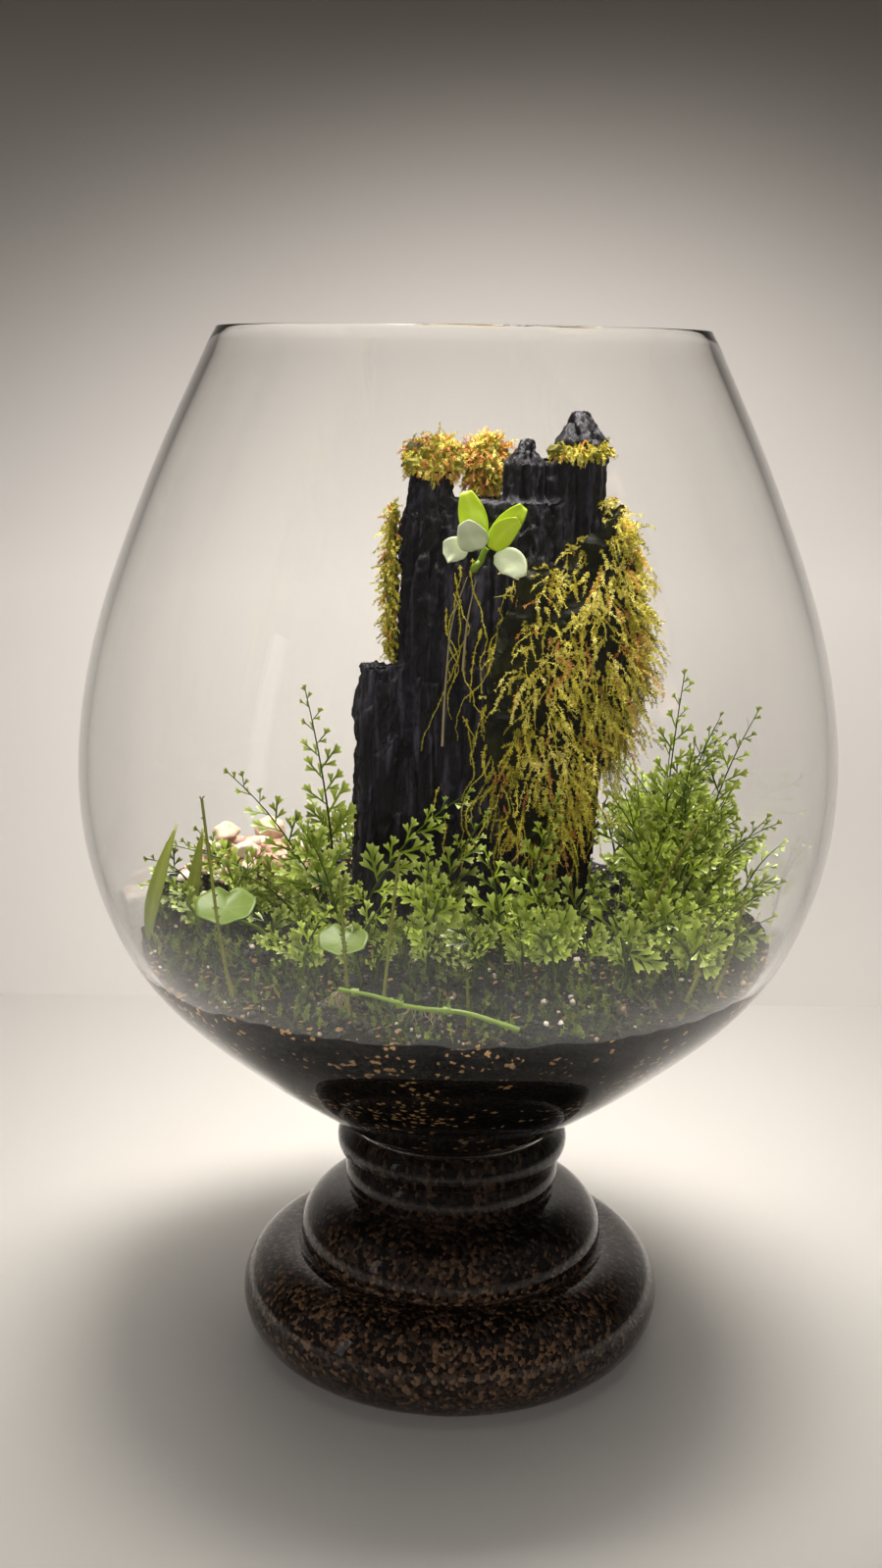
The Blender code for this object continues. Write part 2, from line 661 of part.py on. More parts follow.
def main():
    """Build the whole terrarium."""
    clear_scene()
    parts = make_collection("glass_plant_terrarium")
    cutters = make_collection("cutters")
    palette = Palette()

    stump_cutter = make_stump("stump_cutter", palette.charred, cutters, grow=GAP)
    stump_cutter.hide_render = True
    stump_cutter.display_type = "WIRE"

    make_vessel(palette.glass, parts)
    make_gravel(palette.gravel, parts)
    make_soil(palette.soil, parts, stump_cutter)
    make_stump("charred_stump", palette.charred, parts)
    make_moss(palette, parts, stump_cutter)
    make_fronds(palette, parts)
    make_plantlet(palette, parts)
    for number, leaf in enumerate(ROUND_LEAVES, start=1):
        make_round_leaf(number, leaf, palette, parts)
    for number, leaf in enumerate(STRAP_LEAVES, start=1):
        make_strap_leaf(number, leaf, palette, parts)
    make_stems(palette, parts)
    make_stones(palette, parts)


main()
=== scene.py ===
"""The looks of a planted glass terrarium: finishes, fine foliage, moss, grains, light and camera."""
from __future__ import annotations

import logging
import math
from collections.abc import Callable, Sequence
from dataclasses import dataclass, field
from enum import Enum

import bmesh
import bpy
import numpy as np
from mathutils import Matrix, Vector, noise
from mathutils.bvhtree import BVHTree


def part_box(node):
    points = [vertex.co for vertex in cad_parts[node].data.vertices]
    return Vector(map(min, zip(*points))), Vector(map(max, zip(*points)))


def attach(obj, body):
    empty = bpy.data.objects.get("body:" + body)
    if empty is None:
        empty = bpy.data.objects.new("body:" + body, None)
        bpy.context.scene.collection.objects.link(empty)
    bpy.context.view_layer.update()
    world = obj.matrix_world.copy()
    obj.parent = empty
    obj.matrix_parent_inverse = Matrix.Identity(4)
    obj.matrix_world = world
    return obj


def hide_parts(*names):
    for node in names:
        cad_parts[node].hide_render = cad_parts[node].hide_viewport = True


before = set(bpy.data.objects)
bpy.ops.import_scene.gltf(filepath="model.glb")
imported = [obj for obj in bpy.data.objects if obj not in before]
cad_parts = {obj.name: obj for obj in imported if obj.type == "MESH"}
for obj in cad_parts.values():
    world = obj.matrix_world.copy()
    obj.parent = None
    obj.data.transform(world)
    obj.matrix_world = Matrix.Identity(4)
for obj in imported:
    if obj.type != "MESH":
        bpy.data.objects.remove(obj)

LOG = logging.getLogger("terrarium")
MM = 0.001
PRESSED = 0.2  # how far the fillings press into the glass, in millimetres, so that no air gap mirrors
Socket = bpy.types.NodeSocket
Place = Sequence[float]
Rng = np.random.Generator


def srgb(code: str) -> tuple[float, float, float, float]:
    """Turn an sRGB hex colour to linear red, green, blue and alpha.

    Args:
        code: Six hex digits after a hash sign.

    Returns:
        The linear colour with an alpha of 1.
    """
    values = [int(code[i:i + 2], 16) / 255 for i in (1, 3, 5)]
    linear = [v / 12.92 if v <= 0.04045 else ((v + 0.055) / 1.055) ** 2.4 for v in values]
    return (*linear, 1.0)


class Graph:
    """A material's node tree while it is being built."""

    def __init__(self, name: str) -> None:
        """Start an empty material.

        Args:
            name: The finish's name.
        """
        self.material = bpy.data.materials.new(name)
        self.material.use_nodes = True
        self.tree = self.material.node_tree
        self.tree.nodes.clear()

    def add(self, kind: str, inputs: dict | None = None, **settings) -> bpy.types.Node:
        """Add a node with its settings and links.

        Args:
            kind: The node's type without the ShaderNode prefix.
            inputs: Socket name or number to a value, or to the socket that feeds it.
            **settings: The node's own properties.

        Returns:
            The new node.
        """
        node = self.tree.nodes.new("ShaderNode" + kind)
        for name, value in settings.items():
            setattr(node, name, value)
        for name, value in (inputs or {}).items():
            if isinstance(value, Socket):
                self.tree.links.new(value, node.inputs[name])
            else:
                node.inputs[name].default_value = value
        return node

    def place(self, scale: float = 1.0, stretch: tuple = (1.0, 1.0, 1.0)) -> Socket:
        """Object coordinates scaled to a pattern's size.

        Args:
            scale: Repeats in a metre.
            stretch: Further scale along each axis.

        Returns:
            The scaled vector.
        """
        coordinates = self.add("TexCoord").outputs["Object"]
        size = tuple(scale * part for part in stretch)
        return self.add("Mapping", {"Vector": coordinates, "Scale": size}).outputs[0]

    def noise(self, size_mm: float, detail: float = 3.0, stretch: tuple = (1.0, 1.0, 1.0)) -> Socket:
        """Noise whose features have a real size in millimetres, as a factor socket."""
        vector = self.place(1.0 / (size_mm * MM), stretch)
        inputs = {"Vector": vector, "Scale": 1.0, "Detail": detail}
        return self.add("TexNoise", inputs).outputs["Fac"]

    def ramp(self, factor: Socket, stops: list[tuple[float, str]]) -> Socket:
        """Colour a factor through stops of place and hex colour, as a colour socket."""
        node = self.add("ValToRGB", {"Fac": factor})
        elements = node.color_ramp.elements
        while len(elements) < len(stops):
            elements.new(0.5)
        for element, (place, code) in zip(elements, stops):
            element.position = place
            element.color = srgb(code)
        return node.outputs["Color"]

    def mix(self, factor: Socket, first: Socket | tuple, second: Socket | tuple) -> Socket:
        """Mix two colours, as a colour socket."""
        node = self.add("Mix", {"Factor": factor}, data_type="RGBA")
        for socket, value in ((node.inputs[6], first), (node.inputs[7], second)):
            if isinstance(value, Socket):
                self.tree.links.new(value, socket)
            else:
                socket.default_value = value
        return node.outputs[2]

    def math(self, operation: str, *values: Socket | float, clamp: bool = False) -> Socket:
        """Apply a maths operation to numbers or sockets, as a value socket."""
        return self.add("Math", dict(enumerate(values)), operation=operation, use_clamp=clamp).outputs[0]

    def along(self, axis: str) -> Socket:
        """One object coordinate in metres, as a value socket."""
        return self.add("SeparateXYZ", {0: self.add("TexCoord").outputs["Object"]}).outputs[axis]

    def own(self, attribute: str) -> Socket:
        """One of the mesh's own values, as a factor socket."""
        return self.add("Attribute", attribute_name=attribute).outputs["Fac"]

    def bump(self, height: Socket, depth_mm: float, strength: float = 1.0) -> Socket:
        """Bump of a real depth in millimetres, as a normal socket."""
        inputs = {"Height": height, "Distance": depth_mm * MM, "Strength": strength}
        return self.add("Bump", inputs).outputs["Normal"]

    def surface(self, inputs: dict) -> Socket:
        """A Principled surface with the given inputs, as a shader socket."""
        return self.add("BsdfPrincipled", inputs).outputs["BSDF"]

    def finish(self, shader: Socket) -> bpy.types.Material:
        """Send a shader to the output and hand over the material."""
        self.add("OutputMaterial", {"Surface": shader})
        return self.material


@dataclass(frozen=True)
class BlownGlass:
    """Clear soda-lime glass, blown: a fire-polished skin with almost no texture."""

    tint: str = "#FCFCFB"
    ior: float = 1.45

    def make(self) -> bpy.types.Material:
        """Build the glass; lamps shine through it, so the planting inside is lit."""
        graph = Graph("blown_clear_glass")
        glass = graph.surface({
            "Base Color": srgb(self.tint), "Roughness": 0.0, "IOR": self.ior,
            "Transmission Weight": 1.0,
        })
        clear = graph.add("BsdfTransparent", {"Color": srgb(self.tint)}).outputs[0]
        lamp_ray = graph.add("LightPath").outputs["Is Shadow Ray"]
        return graph.finish(graph.add("MixShader", {0: lamp_ray, 1: glass, 2: clear}).outputs[0])


@dataclass(frozen=True)
class WaterFilm:
    """Condensed water on the inside of the glass: a thin grey-white veil of tiny droplets."""

    colour: str = "#B9BCB6"
    front_top: float = 0.146
    side_top: float = 0.129
    fade: float = 0.012
    reach: float = 0.09
    cover: float = 0.11

    def make(self) -> bpy.types.Material:
        """Build the veil: densest near the soil, fading to nothing at its upper edge."""
        graph = Graph("condensed_water_film")
        front = graph.math("MULTIPLY", graph.along("Y"), -1 / self.reach)
        front = graph.math("MAXIMUM", front, 0.0)
        top = graph.math("MULTIPLY_ADD", front, self.front_top - self.side_top, self.side_top)
        cloud = graph.noise(16.0, 4.0)
        top = graph.math("MULTIPLY_ADD", cloud, self.fade, top)
        below = graph.math("SUBTRACT", top, graph.along("Z"))
        amount = graph.math("DIVIDE", below, self.fade, clamp=True)
        drops = graph.math("MULTIPLY_ADD", graph.noise(1.1, 2.0), 0.7, 0.55)
        patches = graph.math("MULTIPLY_ADD", cloud, 1.0, 0.45)
        amount = graph.math("MULTIPLY", amount, graph.math("MULTIPLY", drops, patches))
        amount = graph.math("MULTIPLY", amount, self.cover, clamp=True)
        veil = graph.surface({"Base Color": srgb(self.colour), "Roughness": 0.6})
        clear = graph.add("BsdfTransparent").outputs[0]
        return graph.finish(graph.add("MixShader", {0: amount, 1: clear, 2: veil}).outputs[0])


@dataclass(frozen=True)
class LooseGrains:
    """Loose grains seen through glass: dark matter with paler grains scattered in it."""

    name: str
    grain_mm: float
    dark: str
    middle: str
    pale: str
    middle_share: float
    pale_share: float
    patch_mm: float = 22.0
    roughness: float = 0.75
    # height in metres above which the grains darken: painted shade up the dome and into the neck, under the
    # soil-filled bowl
    painted_shade_from: float = 9.0

    def make(self) -> bpy.types.Material:
        """Build the grains from cells that each take one of three colours."""
        graph = Graph(self.name)
        cells = graph.add("TexVoronoi", {
            "Vector": graph.place(1 / (self.grain_mm * MM)), "Scale": 1.0, "Randomness": 1.0,
        })
        draw = graph.add("SeparateColor", {0: cells.outputs["Color"]}).outputs["Red"]
        patch = graph.math("SUBTRACT", graph.noise(self.patch_mm, 2.0), 0.5)
        draw = graph.math("MULTIPLY_ADD", patch, 0.55, draw)
        is_middle = graph.math("GREATER_THAN", draw, 1.0 - self.middle_share)
        is_pale = graph.math("GREATER_THAN", draw, 1.0 - self.pale_share)
        tone = graph.noise(self.grain_mm * 0.7, 2.0)
        dark = graph.mix(tone, srgb(self.dark), (0.0, 0.0, 0.0, 1.0))
        colour = graph.mix(is_middle, dark, srgb(self.middle))
        colour = graph.mix(is_pale, colour, srgb(self.pale))
        # painted shade: above that height the grains blend up to three quarters of the way to near black
        neck_shade = graph.math("SUBTRACT", graph.along("Z"), self.painted_shade_from)
        neck_shade = graph.math("MULTIPLY", neck_shade, 60.0, clamp=True)
        colour = graph.mix(graph.math("MULTIPLY", neck_shade, 0.75), colour, srgb("#050404"))
        height = graph.math("SUBTRACT", 1.0, cells.outputs["Distance"])
        normal = graph.bump(height, self.grain_mm * 0.6, 0.9)
        return graph.finish(graph.surface({
            "Base Color": colour, "Roughness": self.roughness, "Normal": normal,
            "Specular IOR Level": 0.2,
        }))


@dataclass(frozen=True)
class CharredWood:
    """Burnt softwood: black, split along the grain and checked across it, with a satin sheen."""

    black: str = "#131116"
    ash: str = "#4A4552"
    grain_mm: float = 2.2
    flake_mm: float = 5.0
    check_mm: float = 5.5

    def make(self) -> bpy.types.Material:
        """Build long vertical grain, cross cracks and a slightly shiny char."""
        graph = Graph("charred_split_wood")
        grain = graph.noise(self.grain_mm, 5.0, (1.0, 1.0, 0.10))
        flakes = graph.noise(self.flake_mm, 3.0, (1.0, 1.0, 0.35))
        colour = graph.ramp(grain, [(0.36, "#040405"), (0.52, self.black), (0.70, self.ash)])
        colour = graph.mix(graph.math("MULTIPLY", flakes, 0.35), colour, srgb("#221F27"))
        rough = graph.math("MULTIPLY_ADD", flakes, 0.45, 0.36)
        cracks = graph.add("TexVoronoi", {
            "Vector": graph.place(1 / (self.check_mm * MM), (1.0, 1.0, 0.55)), "Scale": 1.0,
        }, feature="DISTANCE_TO_EDGE")
        split = graph.math("MULTIPLY", cracks.outputs["Distance"], 6.0, clamp=True)
        normal = graph.bump(grain, 1.7, 1.0)
        crack = graph.add("Bump", {
            "Height": split, "Distance": 0.5 * MM, "Strength": 0.6, "Normal": normal,
        })
        return graph.finish(graph.surface({
            "Base Color": colour, "Roughness": rough, "Normal": crack.outputs["Normal"],
            "Specular IOR Level": 0.55,
        }))


@dataclass(frozen=True)
class Foliage:
    """Living leaf tissue: a soft cuticle gloss, tint varying from plant to plant and to the tips."""

    name: str
    shade: str
    body: str
    tip: str
    roughness: float = 0.42
    glow: float = 0.12
    vary_mm: float = 9.0

    def make(self) -> bpy.types.Material:
        """Build the leaf from its own tint, a broad mottle and its paler tip."""
        graph = Graph(self.name)
        tint = graph.own("tint")
        tip = graph.own("tip")
        mottle = graph.math("MULTIPLY_ADD", graph.noise(self.vary_mm), 0.7, -0.35)
        amount = graph.math("ADD", tint, mottle, clamp=True)
        colour = graph.mix(amount, srgb(self.shade), srgb(self.body))
        colour = graph.mix(graph.math("MULTIPLY", tip, 0.75), colour, srgb(self.tip))
        normal = graph.bump(graph.noise(0.8), 0.12, 0.5)
        return graph.finish(graph.surface({
            "Base Color": colour, "Roughness": self.roughness, "Normal": normal,
            "Subsurface Weight": self.glow, "Subsurface Radius": (0.5, 0.6, 0.3),
            "Subsurface Scale": 0.001,
        }))


@dataclass(frozen=True)
class Moss:
    """Dry-topped sheet moss: lime and yellow shoots with rusty old strands among them."""

    name: str
    deep: str
    green: str
    bright: str
    rust: str
    rust_share: float = 0.62

    def make(self) -> bpy.types.Material:
        """Build the shoots' colours from patches, single shoots and their ends."""
        graph = Graph(self.name)
        tint = graph.own("tint")
        patch = graph.noise(9.0, 3.0)
        single = graph.math("MULTIPLY_ADD", tint, 0.6, -0.55)
        amount = graph.math("MULTIPLY_ADD", patch, 1.1, single)
        colour = graph.ramp(amount, [(0.0, self.deep), (0.28, self.green), (0.66, self.bright)])
        old = graph.math("MULTIPLY_ADD", graph.noise(6.0, 2.0), 0.75, graph.math("MULTIPLY", tint, 0.3))
        old = graph.math("SUBTRACT", old, self.rust_share)
        old = graph.math("MULTIPLY", old, 7.0, clamp=True)
        colour = graph.mix(old, colour, srgb(self.rust))
        return graph.finish(graph.surface({"Base Color": colour, "Roughness": 0.7}))


@dataclass(frozen=True)
class RoundedStone:
    """Water-worn pebbles of several quartz and feldspar colours, with a fine matt skin."""

    def make(self) -> bpy.types.Material:
        """Build a colour for each stone, mottled within it."""
        graph = Graph("water_worn_pebbles")
        tint = graph.own("tint")
        stops = [(0.0, "#8A5F4A"), (0.25, "#C49A7C"), (0.5, "#D9A79A"), (0.75, "#D9C4A6"), (1.0, "#EFE6D6")]
        colour = graph.ramp(tint, stops)
        mottle = graph.noise(1.6, 4.0)
        colour = graph.mix(graph.math("MULTIPLY", mottle, 0.5), colour, srgb("#7A5A4C"))
        normal = graph.bump(mottle, 0.25, 0.5)
        return graph.finish(graph.surface({
            "Base Color": colour, "Roughness": 0.6, "Normal": normal,
        }))


@dataclass(frozen=True)
class Granules:
    """Crumbs of moist black soil, some glossier than others; the rare pale ones are painted glints."""

    def make(self) -> bpy.types.Material:
        """Build near-black crumbs with brown ones among them, and rare pale ones that are painted glints."""
        graph = Graph("soil_crumbs_with_painted_glints")
        tint = graph.own("tint")
        # the two palest stops are painted glints on the crumbs
        stops = [(0.0, "#0B0A09"), (0.6, "#1B1713"), (0.86, "#3A2C1F"), (0.93, "#B59A78"), (1.0, "#E5DED2")]
        colour = graph.ramp(tint, stops)
        rough = graph.math("MULTIPLY_ADD", graph.noise(3.0), -0.6, 0.75)
        return graph.finish(graph.surface({"Base Color": colour, "Roughness": rough}))


@dataclass(frozen=True)
class Painted:
    """A plain matt paint or laminate, for the backdrop and the floor, that may darken upwards as painted
    shade.
    """

    name: str
    colour: str
    # the colour at the top of the blend, when given: painted shade
    high: str | None = None
    fade: tuple[float, float] = (0.18, 0.41)

    def make(self) -> bpy.types.Material:
        """Build a matt surface, blended between two heights into a darker painted shade, and clear when seen
        from behind.
        """
        graph = Graph(self.name)
        low, high = self.fade
        # painted shade: the colour darkens between the two heights, standing in for the lamp's light falling
        # off up the wall
        part = graph.math("SUBTRACT", graph.along("Z"), low)
        part = graph.math("DIVIDE", part, high - low, clamp=True)
        colour = graph.mix(part, srgb(self.colour), srgb(self.high or self.colour))
        paint = graph.surface({"Base Color": colour, "Roughness": 0.75})
        clear = graph.add("BsdfTransparent").outputs[0]
        behind = graph.add("NewGeometry").outputs["Backfacing"]
        return graph.finish(graph.add("MixShader", {0: behind, 1: paint, 2: clear}).outputs[0])


class Finish(Enum):
    """The object's finishes."""

    GLASS = BlownGlass()
    FILM = WaterFilm()
    SOIL = LooseGrains("black_soil_behind_glass", 1.15, "#060505", "#120E0B", "#9A7A50", 0.18, 0.034)
    # the gravel darkens above 26 mm: painted shade up the dome and in the neck
    GRAVEL = LooseGrains(
        "brown_gravel_behind_glass", 1.1, "#1D1511", "#3A2B21", "#664D39", 0.50, 0.16, painted_shade_from=0.026,
    )
    WOOD = CharredWood()
    FERN = Foliage("fern_leaf_tissue", "#223A06", "#8BA21B", "#CEDA74", 0.28, 0.0)
    LEAF = Foliage("young_pale_leaf", "#B9CB8A", "#E6EBCC", "#F1F2DD", 0.35, 0.0, 5.0)
    BRIGHT = Foliage("fresh_green_leaf", "#8DB414", "#C8DC1E", "#DCE86A", 0.32, 0.0, 5.0)
    ROUND = Foliage("round_herb_leaf", "#50681A", "#6C8228", "#94A45A", 0.45, 0.0, 6.0)
    STRAP = Foliage("olive_strap_leaf", "#4B5A1A", "#7C8A2E", "#A39A45", 0.5, 0.08, 4.0)
    STEM = Foliage("creeping_mossy_stem", "#4C5216", "#7A7C28", "#A59A3C", 0.6, 0.05, 3.0)
    RUNNER = Foliage("lime_runner", "#5C7A1E", "#869C36", "#B0BC62", 0.35, 0.0, 6.0)
    ROOT = Foliage("pale_root", "#7A6A4A", "#B6A684", "#D8CCB2", 0.6, 0.05, 3.0)
    MOSS = Moss("sheet_moss_shoots", "#7C761E", "#D6C840", "#FFF28C", "#E0A050", 0.78)
    RUST_MOSS = Moss("rusty_moss_shoots", "#B07430", "#D09040", "#E8B460", "#C07A34")
    # near-black under-mat below the drape: painted shade deep among the strands
    MOSS_MAT_SHADE = Moss("moss_under_mat_painted_shade", "#0E0E07", "#1E1F0C", "#34350F", "#2A1E0E")
    CUSHION = Moss("moss_cushion", "#3A3A10", "#8E8626", "#D0C04A", "#B0762E", 0.66)
    CARPET = Moss("ground_moss_shoots", "#232E10", "#4F6420", "#8C9C3A", "#8A7236")
    PEBBLE = RoundedStone()
    CRUMB = Granules()

    @property
    def material(self) -> bpy.types.Material:
        """The finish's material, built once."""
        found = MADE.get(self.name)
        if found is None:
            found = MADE[self.name] = self.value.make()
        return found


MADE: dict[str, bpy.types.Material] = {}


def new_mesh(
    name: str, points: Sequence[Place], faces: Sequence[Sequence[int]], attributes: dict | None = None,
) -> bpy.types.Mesh:
    """Make a mesh from points and faces.

    Args:
        name: The mesh's name.
        points: Places in metres.
        faces: Corner numbers of each face.
        attributes: Values for each point under each attribute's name.

    Returns:
        The mesh, shaded smooth.
    """
    mesh = bpy.data.meshes.new(name)
    mesh.from_pydata([tuple(map(float, p)) for p in points], [], [tuple(map(int, f)) for f in faces])
    for key, values in (attributes or {}).items():
        layer = mesh.attributes.new(key, "FLOAT", "POINT")
        layer.data.foreach_set("value", np.asarray(values, np.float32))
    mesh.shade_smooth()
    return mesh


def link(name: str, mesh: bpy.types.Mesh, finish: Finish | None = None) -> bpy.types.Object:
    """Link a mesh as an object, with one finish if given."""
    obj = bpy.data.objects.new(name, mesh)
    bpy.context.scene.collection.objects.link(obj)
    if finish:
        mesh.materials.clear()
        mesh.materials.append(finish.material)
    return obj


def plain(obj: bpy.types.Object) -> bpy.types.Mesh:
    """The mesh that an object's modifiers, or its curve's bevel, make of it."""
    graph = bpy.context.evaluated_depsgraph_get()
    return bpy.data.meshes.new_from_object(obj.evaluated_get(graph))


def settle(piece: bpy.types.Object, slot: str, *nodes: str) -> bpy.types.Object:
    """Let a finished piece ride with the vessel and stand for its CAD nodes.

    Args:
        piece: The finished object.
        slot: The record's material slot; not used.
        *nodes: CAD nodes that it stands for.

    Returns:
        The same object.
    """
    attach(piece, "root")
    if nodes:
        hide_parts(*nodes)
    LOG.info("%s: %d faces", piece.name, len(piece.data.polygons))
    return piece


def join(name: str, parts: list[bpy.types.Object]) -> bpy.types.Object:
    """Join several mesh objects into one.

    Args:
        name: The joined object's name.
        parts: Objects that are used up.

    Returns:
        The joined object.
    """
    if len(parts) > 1:
        with bpy.context.temp_override(active_object=parts[0], selected_editable_objects=parts):
            bpy.ops.object.join()
    parts[0].name = name
    parts[0].data.name = name
    return parts[0]


class Sprinkler:
    """A Geometry Nodes tree that sets a shape on every point, turned and sized by the point."""

    def __init__(self) -> None:
        """Build the tree once: points in, turned and realised shapes out."""
        tree = bpy.data.node_groups.new("set_shape_on_points", "GeometryNodeTree")
        face = tree.interface
        face.new_socket("Points", in_out="INPUT", socket_type="NodeSocketGeometry")
        self.shape = face.new_socket("Shape", in_out="INPUT", socket_type="NodeSocketObject")
        self.size = face.new_socket("Size", in_out="INPUT", socket_type="NodeSocketFloat")
        self.finish = face.new_socket("Finish", in_out="INPUT", socket_type="NodeSocketMaterial")
        face.new_socket("Result", in_out="OUTPUT", socket_type="NodeSocketGeometry")
        nodes, links = tree.nodes, tree.links
        given = nodes.new("NodeGroupInput")
        result = nodes.new("NodeGroupOutput")

        def named(key: str, kind: str) -> Socket:
            """Read an attribute of the points."""
            node = nodes.new("GeometryNodeInputNamedAttribute")
            node.data_type = kind
            node.inputs["Name"].default_value = key
            return next(s for s in node.outputs if s.enabled)

        shape = nodes.new("GeometryNodeObjectInfo")
        links.new(given.outputs["Shape"], shape.inputs["Object"])
        turn = nodes.new("FunctionNodeAxesToRotation")
        turn.primary_axis = "Y"
        turn.secondary_axis = "Z"
        links.new(named("heading", "FLOAT_VECTOR"), turn.inputs[0])
        links.new(named("facing", "FLOAT_VECTOR"), turn.inputs[1])
        scale = nodes.new("ShaderNodeMath")
        scale.operation = "MULTIPLY"
        links.new(named("size", "FLOAT"), scale.inputs[0])
        links.new(given.outputs["Size"], scale.inputs[1])
        copies = nodes.new("GeometryNodeInstanceOnPoints")
        links.new(given.outputs["Points"], copies.inputs["Points"])
        links.new(shape.outputs["Geometry"], copies.inputs["Instance"])
        links.new(turn.outputs[0], copies.inputs["Rotation"])
        links.new(scale.outputs[0], copies.inputs["Scale"])
        real = nodes.new("GeometryNodeRealizeInstances")
        links.new(copies.outputs[0], real.inputs[0])
        dress = nodes.new("GeometryNodeSetMaterial")
        links.new(real.outputs[0], dress.inputs["Geometry"])
        links.new(given.outputs["Finish"], dress.inputs["Material"])
        links.new(dress.outputs[0], result.inputs[0])
        self.tree = tree

    def scatter(
        self, name: str, shape: bpy.types.Mesh, marks: "Marks", finish: Finish,
    ) -> bpy.types.Object:
        """Set a shape on marked points and turn the result into a plain mesh object.

        Args:
            name: The result's name.
            shape: The shape, one unit long along +Y, facing +Z.
            marks: Places, headings, facings, sizes and tints.
            finish: The result's finish.

        Returns:
            The object with the realised shapes.
        """
        mesh = bpy.data.meshes.new(name)
        mesh.from_pydata([tuple(map(float, p)) for p in marks.places], [], [])
        for key in ("heading", "facing"):
            layer = mesh.attributes.new(key, "FLOAT_VECTOR", "POINT")
            layer.data.foreach_set("vector", np.asarray(getattr(marks, key), np.float32).ravel())
        for key in ("size", "tint"):
            layer = mesh.attributes.new(key, "FLOAT", "POINT")
            layer.data.foreach_set("value", np.asarray(getattr(marks, key), np.float32))
        pattern = link(name + "_shape", shape)
        holder = link(name, mesh)
        modifier = holder.modifiers.new("Shapes", "NODES")
        modifier.node_group = self.tree
        modifier[self.shape.identifier] = pattern
        modifier[self.size.identifier] = 1.0
        modifier[self.finish.identifier] = finish.material
        result = plain(holder)
        bpy.data.objects.remove(holder, do_unlink=True)
        bpy.data.objects.remove(pattern, do_unlink=True)
        result.materials.clear()
        result.materials.append(finish.material)
        return link(name, result)


@dataclass
class Marks:
    """Points for the sprinkler, each with its heading, facing, size and tint."""

    places: list = field(default_factory=list)
    heading: list = field(default_factory=list)
    facing: list = field(default_factory=list)
    size: list = field(default_factory=list)
    tint: list = field(default_factory=list)

    def add(self, place: Place, heading: Place, facing: Place, size: float, tint: float) -> None:
        """Add one point."""
        self.places.append(place)
        self.heading.append(heading)
        self.facing.append(facing)
        self.size.append(size)
        self.tint.append(tint)


def unit(vector: Place) -> np.ndarray:
    """A vector scaled to length one."""
    vector = np.asarray(vector, float)
    return vector / max(np.linalg.norm(vector), 1e-12)


def cad_points(node: str) -> np.ndarray:
    """A CAD node's corner points, in metres."""
    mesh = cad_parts[node].data
    points = np.zeros(len(mesh.vertices) * 3, np.float32)
    mesh.vertices.foreach_get("co", points)
    return points.reshape(-1, 3).astype(float)


def cad_surface(node: str) -> BVHTree:
    """A CAD node's surface, for finding heights and nearest places on it."""
    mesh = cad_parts[node].data
    corners = [tuple(polygon.vertices) for polygon in mesh.polygons]
    return BVHTree.FromPolygons([vertex.co.copy() for vertex in mesh.vertices], corners)


def fine_copy(node: str, name: str, voxel_mm: float) -> bpy.types.Object:
    """Copy a CAD solid, weld its triangles and remesh it finely enough to carve.

    Args:
        node: The CAD node.
        name: The copy's name.
        voxel_mm: Size of the new faces in millimetres.

    Returns:
        The copy, with no finish.
    """
    obj = link(name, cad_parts[node].data.copy())
    weld = obj.modifiers.new("Weld", "WELD")
    weld.merge_threshold = 0.00001
    remesh = obj.modifiers.new("Remesh", "REMESH")
    remesh.mode = "VOXEL"
    remesh.voxel_size = voxel_mm * MM
    fine = plain(obj)
    obj.modifiers.clear()
    fine.materials.clear()
    obj.data = fine
    return obj


def carve(mesh: bpy.types.Mesh, move: Callable[[Vector, Vector], Vector]) -> None:
    """Move every point of a mesh.

    Args:
        mesh: The mesh.
        move: Gives the way moved in millimetres from a point in millimetres and its normal.
    """
    normals = [vertex.normal.copy() for vertex in mesh.vertices]
    for vertex, normal in zip(mesh.vertices, normals):
        vertex.co += move(vertex.co / MM, normal) * MM


@dataclass
class Spine:
    """A smooth line through a thin CAD node, from its foot to its tip."""

    foot: np.ndarray
    middle: np.ndarray
    tip: np.ndarray
    face: np.ndarray
    half_width: float

    @classmethod
    def of(cls, node: str) -> "Spine":
        """Find a node's line, the way its blade faces and its half width.

        Args:
            node: A frond, leaf or stem in the CAD frame.

        Returns:
            The spine.
        """
        points = cad_points(node)
        low = points[:, 2].min()
        foot = points[points[:, 2] < low + 0.0012].mean(0)
        tip = points[np.argmax(np.linalg.norm(points - foot, axis=1))]
        axis = unit(tip - foot)
        along = (points - foot) @ axis
        length = along.max()
        near = points[np.abs(along - 0.5 * length) < 0.16 * length]
        middle = near.mean(0) if len(near) else (foot + tip) / 2
        centred = points - points.mean(0)
        spread = np.linalg.svd(centred, full_matrices=False)[2]
        face = spread[2] if spread[2][1] < 0 else -spread[2]
        across = np.abs(centred @ spread[1])
        return cls(foot, middle, tip, face, float(across.max()))

    def at(self, t: float) -> np.ndarray:
        """The place at a part of the way from foot to tip."""
        bend = 2 * self.middle - 0.5 * (self.foot + self.tip)
        return (1 - t) ** 2 * self.foot + 2 * t * (1 - t) * bend + t ** 2 * self.tip

    def heading(self, t: float) -> np.ndarray:
        """The direction of travel at a part of the way."""
        return unit(self.at(min(t + 0.02, 1.0)) - self.at(max(t - 0.02, 0.0)))

    @property
    def length(self) -> float:
        """Length of the line."""
        steps = [self.at(t) for t in np.linspace(0, 1, 20)]
        return float(sum(np.linalg.norm(b - a) for a, b in zip(steps, steps[1:])))


